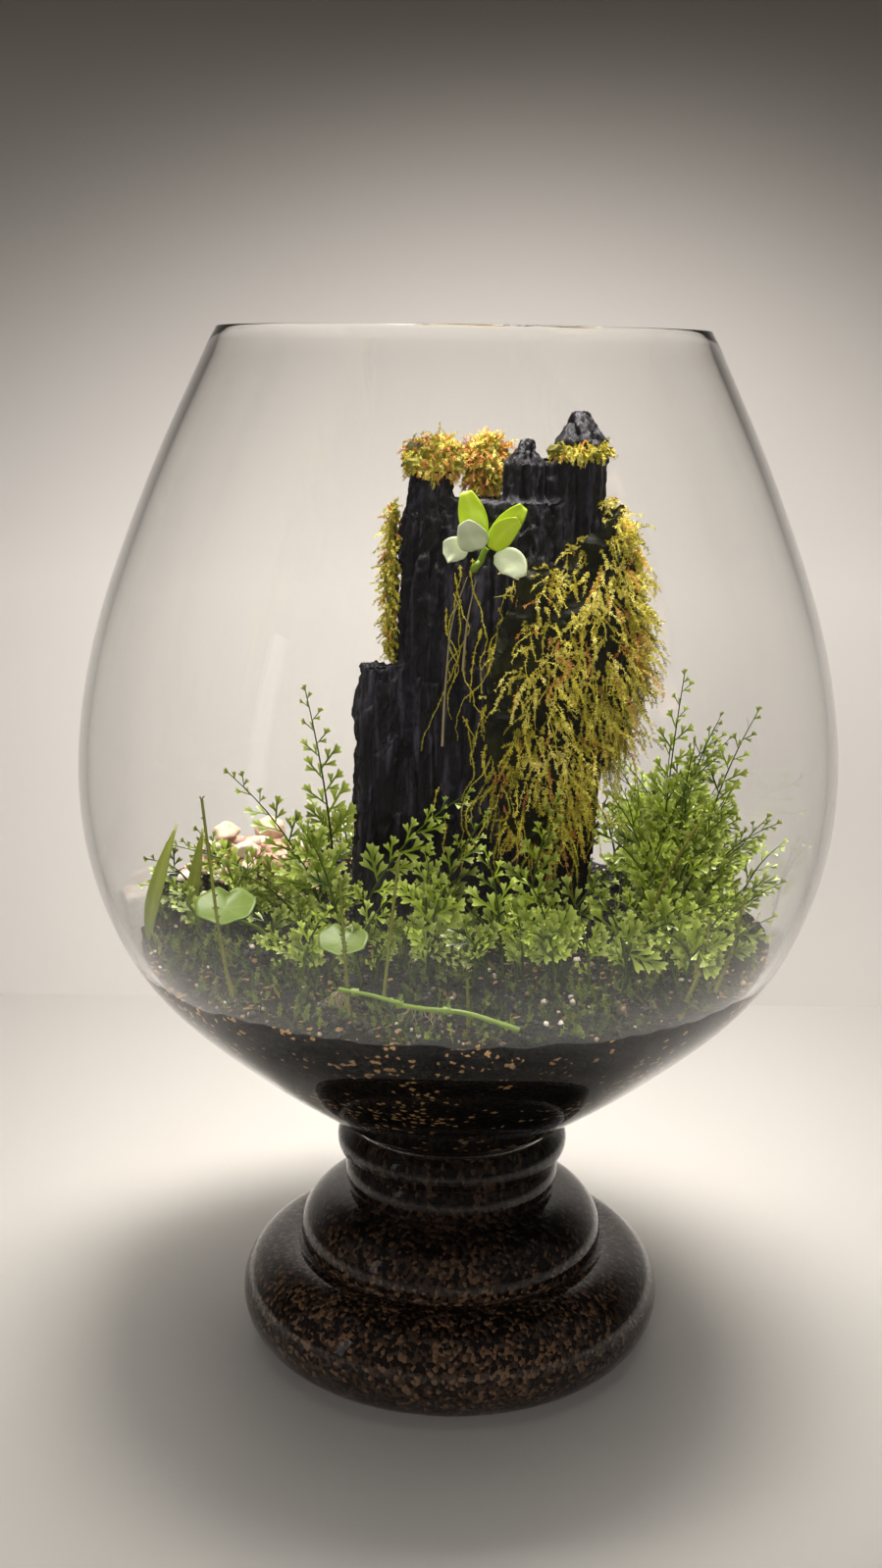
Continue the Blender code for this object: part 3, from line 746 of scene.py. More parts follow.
def tubes(
    name: str, routes: list, radii: list, finish: Finish, sides: int = 1, tint: float = 0.5,
) -> bpy.types.Object:
    """Round stems along many routes, as one mesh object.

    Args:
        name: The object's name.
        routes: Lists of places in metres.
        radii: The foot and tip radius of each route.
        finish: The stems' finish.
        sides: Bevel resolution of the round section.
        tint: The stems' own tint.

    Returns:
        The object.
    """
    curve = bpy.data.curves.new(name, "CURVE")
    curve.dimensions = "3D"
    curve.bevel_depth = 1.0
    curve.bevel_resolution = sides
    curve.use_fill_caps = True
    for route, (first, last) in zip(routes, radii):
        spline = curve.splines.new("POLY")
        spline.points.add(len(route) - 1)
        for index, place in enumerate(route):
            spline.points[index].co = (*map(float, place), 1.0)
            spline.points[index].radius = first + (last - first) * index / max(len(route) - 1, 1)
    holder = link(name + "_line", curve)
    mesh = plain(holder)
    bpy.data.objects.remove(holder, do_unlink=True)
    layer = mesh.attributes.new("tint", "FLOAT", "POINT")
    layer.data.foreach_set("value", np.full(len(mesh.vertices), tint, np.float32))
    mesh.shade_smooth()
    return link(name, mesh, finish)


def pinna_shape(lobes: int) -> bpy.types.Mesh:
    """A fern pinna one unit long: a thin stalk that forks into wedge lobes with notched ends.

    Args:
        lobes: Number of lobes, the end one included.

    Returns:
        The mesh, with paler lobe ends in its "tip" attribute.
    """
    points, faces, tips = [], [], []

    def strip(root: tuple, angle: float, length: float, rows: tuple) -> None:
        """Add a strip of rows, each with its way along, half width and pull-back of the middle."""
        start = len(points)
        way = np.array([math.sin(angle), math.cos(angle)])
        side = np.array([way[1], -way[0]])
        for along, half, pull in rows:
            for across in (-1, 0, 1):
                place = np.array(root) + way * (along - pull * (across == 0)) * length + side * across * half
                fold = 0.35 * abs(across) * half - 0.12 * place[1] ** 2 + 0.05 * along * math.sin(9 * angle)
                points.append((place[0], place[1], fold))
                tips.append(along ** 2 * (length < 0.6))
        for row in range(len(rows) - 1):
            a = start + 3 * row
            faces.extend([(a, a + 1, a + 4, a + 3), (a + 1, a + 2, a + 5, a + 4)])

    width = 0.055 + 0.14 / lobes
    wedge = ((0.0, 0.02, 0.0), (0.35, 0.45 * width, 0.0), (0.78, 1.15 * width, 0.0), (1.0, width, 0.16))
    strip((0.0, 0.0), 0.0, 0.78, ((0.0, 0.022, 0.0), (0.5, 0.035, 0.0), (1.0, 0.03, 0.0)))
    for index in range(lobes - 1):
        part = index / max(lobes - 2, 1)
        angle = (-1) ** index * (0.74 - 0.30 * part)
        strip((0.0, 0.16 + 0.44 * part), angle, 0.46 - 0.12 * part, wedge)
    strip((0.0, 0.64), 0.06, 0.36, wedge)
    return new_mesh(f"pinna_{lobes}", points, faces, {"tip": tips})


def leaflet_shape() -> bpy.types.Mesh:
    """A moss leaflet one unit long: a narrow pointed blade folded along its midline."""
    points = [(0, 0, 0), (-0.2, 0.42, 0.08), (0.2, 0.42, 0.08), (0, 1, 0)]
    faces = [(0, 3, 1), (0, 2, 3)]
    return new_mesh("moss_leaflet", points, faces)


def stone_shape(seed: float, fineness: int = 2) -> bpy.types.Mesh:
    """A rounded, uneven stone one unit across."""
    work = bmesh.new()
    bmesh.ops.create_icosphere(work, subdivisions=fineness, radius=0.5)
    for vertex in work.verts:
        swell = 1.0 + 0.32 * noise.noise(vertex.co * 2.6 + Vector((seed, 0, seed)))
        vertex.co = Vector((vertex.co.x * 0.86, vertex.co.y, vertex.co.z * 0.7)) * swell
    mesh = bpy.data.meshes.new("stone")
    work.to_mesh(mesh)
    work.free()
    mesh.shade_smooth()
    return mesh


@dataclass
class Vessel:
    """The blown glass vessel: its profile, its skin and the water film on its inside."""

    rim: float = 63.0
    height: float = 278.0
    wall: float = 2.4
    stations: tuple = (
        (63.0, 278.0), (80.6, 240.0), (94.7, 201.0), (100.0, 166.0),
        (96.2, 136.0), (83.5, 110.0), (58.5, 86.0), (28.7, 63.6),
    )
    upper_ring: tuple = (28.4, 58.2, 3.7, 4.8)
    lower_ring: tuple = (27.3, 48.6, 2.5, 4.6)
    dome: tuple = (26.4, 30.5, 16.0, 13.7)
    foot: tuple = (43.7, 13.4, 15.0, 14.6)
    foot_inside: tuple = (43.7, 14.0, 12.4, 11.2)
    neck: float = 25.2
    sides: int = 160

    @staticmethod
    def arc(shape: tuple, start: float, end: float, count: int) -> list:
        """Points on an ellipse given by centre radius, centre height and half sizes."""
        turns = np.radians(np.linspace(start, end, count + 1))
        centre, middle, wide, tall = shape
        return [(centre + wide * math.cos(a), middle + tall * math.sin(a)) for a in turns]

    @staticmethod
    def smooth(stations: tuple, steps: int) -> list:
        """Points on a Catmull-Rom curve through stations."""
        knots = [np.array(p, float) for p in stations]
        knots = [2 * knots[0] - knots[1], *knots, 2 * knots[-1] - knots[-2]]
        points = []
        for a, b, c, d in zip(knots, knots[1:], knots[2:], knots[3:]):
            for t in np.arange(steps) / steps:
                bend = (2 * a - 5 * b + 4 * c - d) * t ** 2 + (3 * b - a - 3 * c + d) * t ** 3
                points.append(tuple(0.5 * (2 * b + (c - a) * t + bend)))
        points.append(tuple(knots[-2]))
        return points

    @staticmethod
    def inwards(points: list, distance: float) -> list:
        """Move a downward profile towards the axis."""
        array = np.array(points)
        along = np.gradient(array, axis=0)
        along /= np.linalg.norm(along, axis=1)[:, None]
        moved = array + np.stack([along[:, 1], -along[:, 0]], 1) * distance
        return [tuple(p) for p in moved]

    def outside(self) -> list:
        """The outer profile, from below the lip down to the middle of the underside."""
        bowl = self.smooth(self.stations, 12)[1:]
        rings = self.arc(self.upper_ring, 74, -74, 14) + self.arc(self.lower_ring, 74, -66, 12)
        foot = self.arc(self.dome, 86, -12, 16) + self.arc(self.foot, 90, -64, 26)
        under = [(49.5, 0.0), (44.0, 0.0), (40.0, 2.0), (20.0, 3.6), (0.0, 4.0)]
        return bowl + rings + foot + under

    def inside(self) -> list:
        """The inner profile, from below the lip down to the middle of the floor."""
        bowl = self.inwards(self.smooth(self.stations, 12), self.wall)[1:-1]
        neck = [(self.neck, 61.6), (self.neck, 45.7)]
        dome = self.arc((*self.dome[:2], self.dome[2] - self.wall, self.dome[3] - self.wall), 80, -5, 12)
        foot = self.arc(self.foot_inside, 110, -95, 24)
        return bowl + neck + dome + foot + [(38.0, 4.4), (0.0, 6.4)]

    def lathe(self, name: str, profile: list, sides: int | None = None) -> bpy.types.Mesh:
        """Turn a profile that runs down its outer side about the axis.

        Args:
            name: The mesh's name.
            profile: Radius and height points in millimetres; radius 0 closes on the axis.
            sides: Number of sides.

        Returns:
            The mesh, facing outwards.
        """
        sides = sides or self.sides
        turns = np.arange(sides) * 2 * math.pi / sides
        points, rows = [], []
        for radius, height in profile:
            if radius < 1e-6:
                rows.append([len(points)] * sides)
                points.append((0.0, 0.0, height * MM))
                continue
            rows.append(list(range(len(points), len(points) + sides)))
            points += [(radius * math.cos(a) * MM, radius * math.sin(a) * MM, height * MM) for a in turns]
        faces = []
        for upper, lower in zip(rows, rows[1:]):
            for i in range(sides):
                j = (i + 1) % sides
                corners = (upper[i], lower[i], lower[j], upper[j])
                kept = tuple(dict.fromkeys(corners))
                if len(kept) > 2:
                    faces.append(kept)
        return new_mesh(name, points, faces)

    def __post_init__(self) -> None:
        """Keep the bowl's inner profile, bottom first."""
        bowl = self.inwards(self.smooth(self.stations, 12), self.wall)[1:-1]
        self.bowl = np.array(bowl[::-1])

    def radius_at(self, height: float) -> float:
        """Inner radius of the bowl at a height, both in millimetres."""
        return float(np.interp(height, self.bowl[:, 1], self.bowl[:, 0]))

    def holds(self, place: Place, margin: float) -> bool:
        """Whether a place in metres is inside the bowl by a margin in millimetres."""
        limit = self.radius_at(place[2] / MM) - margin
        return math.hypot(place[0], place[1]) / MM < limit

    def build(self) -> None:
        """Make the vessel and the film."""
        lip = [
            (self.rim - 2.2, self.height - 1.0), (self.rim - 2.0, self.height - 0.3),
            (self.rim - 1.5, self.height), (self.rim - 0.5, self.height),
            (self.rim - 0.1, self.height - 0.3), (self.rim + 0.05, self.height - 0.8),
        ]
        profile = self.inside()[::-1] + lip + self.outside()
        glass = link("glass_bowl", self.lathe("glass_bowl", profile), Finish.GLASS)
        settle(glass, "clear_glass", "glass_vessel")
        film = [(self.radius_at(z) - 0.15, z) for z in np.linspace(160.0, 116.0, 23)]
        veil = link("water_film", self.lathe("water_film", film), Finish.FILM)
        settle(veil, "clear_glass")


@dataclass
class Ground:
    """Gravel, soil, crumbs and pebbles."""

    vessel: Vessel
    sprinkler: Sprinkler
    seed: int = 11
    crumbs: int = 2600
    pebbles: int = 260

    def height(self, x: float, y: float) -> float:
        """Height of the soil's surface in metres."""
        hit = self.soil.ray_cast(Vector((x, y, 0.2)), Vector((0, 0, -1)))
        return hit[0].z if hit[0] else 0.1175

    def blocked(self, x: float, y: float) -> bool:
        """Whether the stump stands over a place, or within 2 mm of it."""
        for dx, dy in ((0, 0), (2, 0), (-2, 0), (0, 2), (0, -2)):
            start = Vector((x + dx * MM, y + dy * MM, 0.26))
            hit = self.stump.ray_cast(start, Vector((0, 0, -1)))
            if hit[0] and hit[0].z > self.height(x, y) + 3 * MM:
                return True
        return False

    def build(self) -> None:
        """Make every part of the ground."""
        self.soil = cad_surface("soil_bed")
        self.stump = cad_surface("charred_stump")
        self.gravel_fill()
        self.soil_fill()
        self.crumb_layer()
        self.pebble_pile()

    def gravel_fill(self) -> None:
        """The gravel, pressed a little into the glass."""
        inner = [p for p in self.vessel.inside() if p[1] < 61.8]
        side = self.vessel.inwards(inner, -PRESSED)
        side[-1] = (0.0, side[-1][1])
        profile = [(0.0, 62.0), (25.0, 62.0)] + side
        mesh = self.vessel.lathe("gravel", profile, 128)
        settle(link("gravel", mesh, Finish.GRAVEL), "brown_gravel", "foot_gravel")

    def soil_fill(self) -> None:
        """The soil: a fine disc draped on the CAD surface, and a side pressed a little into the glass."""
        sides, rings = 200, 60
        turns = np.arange(sides) * 2 * math.pi / sides
        points = [(0.0, 0.0, self.height(0, 0))]
        rows = []
        for ring in range(1, rings + 1):
            part = ring / rings
            row = []
            for a in turns:
                reach = 0.0855 * part
                x, y = reach * math.cos(a), reach * math.sin(a)
                z = self.height(x * 0.985, y * 0.985)
                spot = Vector((x, y, z)) / MM
                rough = 1.1 * noise.noise(spot / 3.1) + 1.6 * noise.noise(spot / 9.0)
                if ring == rings:
                    edge = z / MM + rough * 0.7
                    wide = (self.vessel.radius_at(edge) + PRESSED) * MM
                    x, y, z = wide * math.cos(a), wide * math.sin(a), edge * MM
                else:
                    z += (rough - 0.4) * MM
                row.append(len(points))
                points.append((x, y, z))
            rows.append(row)
        inner = [p for p in self.vessel.inside() if 61.7 < p[1] < 115.0]
        side = self.vessel.inwards(inner, -PRESSED)
        for radius, height in side:
            rows.append([len(points) + i for i in range(sides)])
            points += [(radius * math.cos(a) * MM, radius * math.sin(a) * MM, height * MM) for a in turns]
        faces = [(0, rows[0][i], rows[0][(i + 1) % sides]) for i in range(sides)]
        for upper, lower in zip(rows, rows[1:]):
            for i in range(sides):
                j = (i + 1) % sides
                faces.append((upper[i], lower[i], lower[j], upper[j]))
        points.append((0.0, 0.0, 62.5 * MM))
        faces += [(rows[-1][(i + 1) % sides], rows[-1][i], len(points) - 1) for i in range(sides)]
        mesh = new_mesh("soil", points, faces)
        settle(link("soil", mesh, Finish.SOIL), "black_soil", "soil_bed")

    def crumb_layer(self) -> None:
        """Loose crumbs on the soil, with a few pale ones."""
        rng = np.random.default_rng(self.seed)
        marks = Marks()
        for _ in range(self.crumbs):
            reach, a = 0.085 * math.sqrt(rng.random()), rng.random() * 2 * math.pi
            x, y = reach * math.cos(a), reach * math.sin(a)
            size = (0.8 + 2.2 * rng.random() ** 2.5) * MM
            place = (x, y, self.height(x * 0.985, y * 0.985) + 0.15 * MM)
            marks.add(place, rng.normal(size=3), rng.normal(size=3), size, rng.random())
        crumbs = self.sprinkler.scatter("soil_crumbs", stone_shape(3.1, 1), marks, Finish.CRUMB)
        settle(crumbs, "black_soil")

    def pebble_pile(self) -> None:
        """Small pebbles over the CAD bed and the five large ones on it."""
        rng = np.random.default_rng(self.seed + 1)
        low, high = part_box("pebble_bed")
        centre = (low + high) / 2
        half = (high - low) / 2
        bed = cad_surface("pebble_bed")
        marks = Marks()
        for _ in range(self.pebbles):
            reach, a = 1.22 * math.sqrt(rng.random()), rng.random() * 2 * math.pi
            x = centre.x + half.x * reach * math.cos(a)
            y = centre.y + half.y * reach * math.sin(a)
            if math.hypot(x, y) > 0.0845:
                continue
            hit = bed.ray_cast(Vector((x, y, 0.2)), Vector((0, 0, -1)))
            top = hit[0].z if hit[0] else self.height(x, y)
            size = (2.8 + 3.8 * rng.random() ** 1.5) * MM
            place = (x, y, top + 0.4 * MM)
            facing = (rng.normal() * 0.3, rng.normal() * 0.3, 1.0)
            marks.add(place, (*rng.normal(size=2), 0.1), facing, size, rng.random())
        pile = self.sprinkler.scatter("pebble_layer", stone_shape(1.7), marks, Finish.PEBBLE)
        settle(pile, "cream_pebble", "pebble_bed")
        for number in range(1, 6):
            low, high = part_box(f"pebble_{number}")
            marks = Marks()
            marks.add((low + high) / 2, (0.4, 1, 0), (0, 0.1, 1), (high - low).x * 1.05, 0.6 + 0.09 * number)
            name = f"large_pebble_{number}"
            stone = self.sprinkler.scatter(name, stone_shape(number * 2.3, 4), marks, Finish.PEBBLE)
            settle(stone, "cream_pebble", f"pebble_{number}")


@dataclass
class Stump:
    """The charred stump and the charcoal piece: CAD solids broken up into split, burnt wood."""

    seed: float = 4.0
    plate_mm: float = 5.5
    plate_height_mm: float = 9.5

    def split_wood(self, deep: float) -> Callable[[Vector, Vector], Vector]:
        """The way that burning moves a point of the wood's skin.

        Args:
            deep: Depth of the deepest splits in millimetres.

        Returns:
            A move for carve, from grain, long splits and checked plates.
        """
        def move(spot: Vector, normal: Vector) -> Vector:
            """Press grain, splits and plate edges in, and tilt each plate a little."""
            grain = noise.noise(Vector((spot.x / 2.0, spot.y / 2.0, spot.z / 30.0 + self.seed)))
            ridge = abs(noise.noise(Vector((spot.x / 6.0, spot.y / 6.0, spot.z / 55.0 - self.seed))))
            warp = 1.2 * noise.noise(spot / 9.0)
            place = (spot.x / self.plate_mm + warp, spot.y / self.plate_mm)
            near, cells = noise.voronoi(Vector((*place, spot.z / self.plate_height_mm + warp)))
            edge = max(0.0, 1.0 - (near[1] - near[0]) / 0.12)
            plate = noise.noise(cells[0] * 3.7) * 0.9
            split = max(0.0, 1.0 - ridge / 0.09) * deep
            lump = 0.9 * noise.noise(spot / 14.0)
            fine_grain = 0.35 * noise.noise(spot / 1.3)
            push = -split - 0.32 * deep * edge + plate + grain * 0.5 + fine_grain + lump - 0.7
            return Vector((normal.x, normal.y, normal.z * 0.7)) * push

        return move

    def build(self) -> None:
        """Make the stump and the charcoal piece."""
        for node, name, voxel, deep in (
            ("charred_stump", "burnt_stump", 0.8, 2.4), ("charcoal_piece", "charcoal_chip", 0.5, 0.8),
        ):
            wood = fine_copy(node, name, voxel)
            carve(wood.data, self.split_wood(deep))
            wood.data.materials.append(Finish.WOOD.material)
            wood.data.shade_smooth()
            settle(wood, "charred_wood", node)


@dataclass
class MossGrowth:
    """Moss on the stump: an under-mat and hundreds of leafy, hanging strands for each pad."""

    sprinkler: Sprinkler
    strands: dict = field(default_factory=lambda: {
        "moss_drape": 2500, "moss_cap_left": 320, "moss_cap_middle": 330,
        "moss_band_right": 200, "moss_side_left": 260,
    })
    trailing: int = 70
    seed: int = 5

    def mat(self, node: str) -> bpy.types.Object:
        """The rough under-mat of a pad: near black and low below the drape, as painted shade deep among the
        strands, green and full elsewhere.
        """
        drape = node == "moss_drape"
        mat = fine_copy(node, node + "_mat", 0.9 if drape else 0.6)

        def move(spot: Vector, normal: Vector) -> Vector:
            """Make the skin lumpy and set it back under the strands."""
            push = 1.6 * noise.noise(spot / 2.2) + 2.2 * noise.noise(spot / 7.0)
            push = push - 3.4 if drape else 0.7 * push + 0.8 * noise.noise(spot / 1.2) - 1.7
            return normal * push

        carve(mat.data, move)
        layer = mat.data.attributes.new("tint", "FLOAT", "POINT")
        layer.data.foreach_set("value", np.full(len(mat.data.vertices), 0.4, np.float32))
        # below the drape the mat takes the near-black finish: painted shade among the strands
        mat.data.materials.append((Finish.MOSS_MAT_SHADE if drape else Finish.CUSHION).material)
        return mat

    def strand(self, rng: Rng, start: np.ndarray, out: np.ndarray, length: float, fall: float) -> list:
        """A strand's route: out of the pad, then drooping and wandering.

        Args:
            rng: Random numbers.
            start: Where it leaves the pad.
            out: The pad's outward direction there.
            length: Its length in metres.
            fall: How strongly it sets off downwards.

        Returns:
            Places along the strand.
        """
        steps = max(4, int(length / (1.6 * MM)))
        way = unit(out * (1.0 - 0.5 * fall) + np.array([0, 0, -fall]) + rng.normal(size=3) * 0.42)
        place = start - out * (1.5 + 1.5 * fall) * MM
        route = [place]
        for step in range(steps):
            droop = 0.16 + 0.30 * step / steps
            way = unit(way + np.array([0, 0, -droop]) + rng.normal(size=3) * 0.24)
            place = place + way * length / steps
            route.append(place)
        return route

    def clothe(self, rng: Rng, marks: Marks, route: list, tint: float, size_mm: float) -> None:
        """Set leaflets in pairs along a strand, smaller towards its end.

        Args:
            rng: Random numbers.
            marks: Where the leaflets are noted.
            route: Places along the strand.
            tint: The strand's own tint.
            size_mm: Length of its largest leaflets.
        """
        for index in range(1, len(route)):
            before, place = route[index - 1], route[index]
            along = unit(place - before)
            taper = 1.0 - 0.45 * index / len(route)
            for part in (0.2, 0.53, 0.87):
                side = unit(np.cross(along, rng.normal(size=3)))
                spot = before + (place - before) * part
                for sign in (-1, 1):
                    heading = unit(side * sign + along * 0.9)
                    size = size_mm * taper * (0.75 + 0.5 * rng.random()) * MM
                    marks.add(spot, heading, np.cross(heading, along), size, tint)

    def finish_strands(self, name: str, routes: list, marks: Marks, finish: Finish) -> None:
        """Make one piece of strands from their routes and leaflets."""
        leaves = self.sprinkler.scatter(name + "_leaflets", leaflet_shape(), marks, finish)
        stems = tubes(name + "_stems", routes, [(0.15 * MM, 0.06 * MM)] * len(routes), finish, 0)
        settle(join(name + "_strands", [leaves, stems]), "moss")

    def grow(self, node: str, count: int) -> None:
        """Grow one pad's strands, in patches with bare wood between them."""
        rng = np.random.default_rng(self.seed + len(node))
        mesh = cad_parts[node].data
        mesh.calc_loop_triangles()
        triangles = np.array([t.vertices for t in mesh.loop_triangles])
        points = cad_points(node)
        a, b, c = (points[triangles[:, i]] for i in range(3))
        cross = np.cross(b - a, c - a)
        area = np.linalg.norm(cross, axis=1)
        out = cross / np.maximum(area, 1e-12)[:, None]
        weight = area * np.where(out[:, 1] < 0.3, 1.0, 0.35)
        picks = rng.choice(len(area), count, p=weight / weight.sum())
        low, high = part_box("moss_drape")
        groups = {False: ([], Marks()), True: ([], Marks())}
        for pick in picks:
            u, v = sorted(rng.random(2))
            start = a[pick] * u + b[pick] * (v - u) + c[pick] * (1 - v)
            spot = Vector(start) / MM
            if node == "moss_drape":
                thin = noise.noise(spot / 8.0) - 0.012 * (26.0 - spot.x) * (spot.x < 26.0)
                if thin < -0.12 and rng.random() < 0.85:
                    continue
            lower = float(np.clip((high.z - start[2]) / (high.z - low.z), 0.0, 1.0))
            drape = node == "moss_drape"
            longest = 6.0 + 10.0 * lower if drape else 3.0
            length = ((3.0 if drape else 1.8) + longest * rng.random() ** 1.7) * MM
            route = self.strand(rng, start, out[pick], length, 0.5 if drape else 0.0)
            rusty = rng.random() < (0.45 if "cap" in node else 0.10)
            routes, marks = groups[rusty]
            routes.append(route)
            dark = 0.35 if node == "moss_drape" and spot.x < 14.0 else 0.0
            self.clothe(rng, marks, route, float(np.clip(rng.random() - dark, 0, 1)), 1.1 if drape else 0.9)
        for rusty, (routes, marks) in groups.items():
            if routes:
                finish = Finish.RUST_MOSS if rusty else Finish.MOSS
                self.finish_strands(node + ("_rusty" if rusty else "_green"), routes, marks, finish)

    def trail(self) -> None:
        """Long strands that hang down the bare front of the stump."""
        rng = np.random.default_rng(self.seed + 1)
        wood = cad_surface("charred_stump")
        routes, marks = [], Marks()
        for _ in range(self.trailing):
            x, z = rng.uniform(-6, 42) * MM, rng.uniform(128, 228) * MM
            length, drift, route = rng.uniform(12, 46) * MM, 0.0, []
            for step in range(int(length / (1.6 * MM))):
                drift = 0.75 * drift + rng.normal() * 0.45 * MM
                x += drift
                z -= 1.6 * MM
                hit = wood.ray_cast(Vector((x, -0.09, z)), Vector((0, 1, 0)))
                if hit[0] is None or z < 0.119:
                    break
                route.append(np.array([x, hit[0].y + (0.1 - 0.6 * rng.random()) * MM, z]))
            if len(route) > 3:
                routes.append(route)
                self.clothe(rng, marks, route, rng.random() * 0.5, 0.85)
        self.finish_strands("trailing_moss", routes, marks, Finish.MOSS)

    def carpet(self, ground: "Ground", vessel: Vessel) -> None:
        """Short shoots on the soil: a patchy dark green carpet between the plants."""
        rng = np.random.default_rng(self.seed + 2)
        routes, marks = [], Marks()
        for _ in range(2600):
            reach, turn = 0.0845 * math.sqrt(rng.random()), rng.random() * 2 * math.pi
            x, y = reach * math.cos(turn), reach * math.sin(turn)
            if noise.noise(Vector((x, y, 0.0)) / (14 * MM)) < -0.08 - 0.15 * (y < 0):
                continue
            base = np.array([x, y, ground.height(x, y) - 0.5 * MM])
            if not vessel.holds(base, 2.0):
                continue
            height = rng.uniform(2.0, 5.0) * MM
            lean = unit(np.array([*(rng.normal(size=2) * 0.5), 1.0]))
            route = [base + lean * height * part for part in (0.0, 0.35, 0.7, 1.0)]
            routes.append(route)
            self.clothe(rng, marks, route, rng.random(), 1.2)
        self.finish_strands("ground_moss", routes, marks, Finish.CARPET)

    def build(self, ground: "Ground", vessel: Vessel) -> None:
        """Grow every pad, the hanging strands and the carpet."""
        for node, count in self.strands.items():
            settle(self.mat(node), "moss", node)
            self.grow(node, count)
        self.trail()
        self.carpet(ground, vessel)


@dataclass(frozen=True)
class Clump:
    """Where a plant grows: its middle and spread, number and length of fronds, and which way it leans."""

    middle: tuple[float, float]
    spread: tuple[float, float]
    count: int
    lengths: tuple[float, float]
    lean: tuple[float, float]
    tint: float


CLUMPS = {
    "fern_left_1": Clump((-36, -9), (15, 13), 17, (15, 36), (-0.15, -0.2), 0.55),
    "fern_left_2": Clump((-62, 4), (17, 20), 16, (10, 24), (-0.2, -0.2), 0.25),
    "fern_left_5": Clump((-34, -36), (20, 13), 11, (10, 22), (0.0, -0.3), 0.50),
    "fern_front_1": Clump((2, -38), (18, 12), 13, (14, 32), (-0.05, -0.3), 0.62),
    "fern_front_4": Clump((32, -36), (16, 13), 15, (15, 34), (0.15, -0.3), 0.70),
    "fern_right_1": Clump((55, 6), (9, 20), 24, (34, 62), (0.12, -0.1), 0.45),
    "fern_right_3": Clump((64, -8), (15, 18), 25, (18, 42), (0.25, -0.25), 0.60),
    "fern_right_6": Clump((53, -36), (15, 12), 14, (14, 30), (0.1, -0.3), 0.66),
    "fern_right_8": Clump((60, 34), (15, 16), 16, (18, 38), (0.2, 0.2), 0.50),
    "fern_back_1": Clump((16, 56), (24, 12), 18, (14, 32), (0.1, 0.3), 0.50),
    "fern_back_2": Clump((-28, 54), (20, 13), 14, (10, 26), (-0.1, 0.3), 0.50),
}


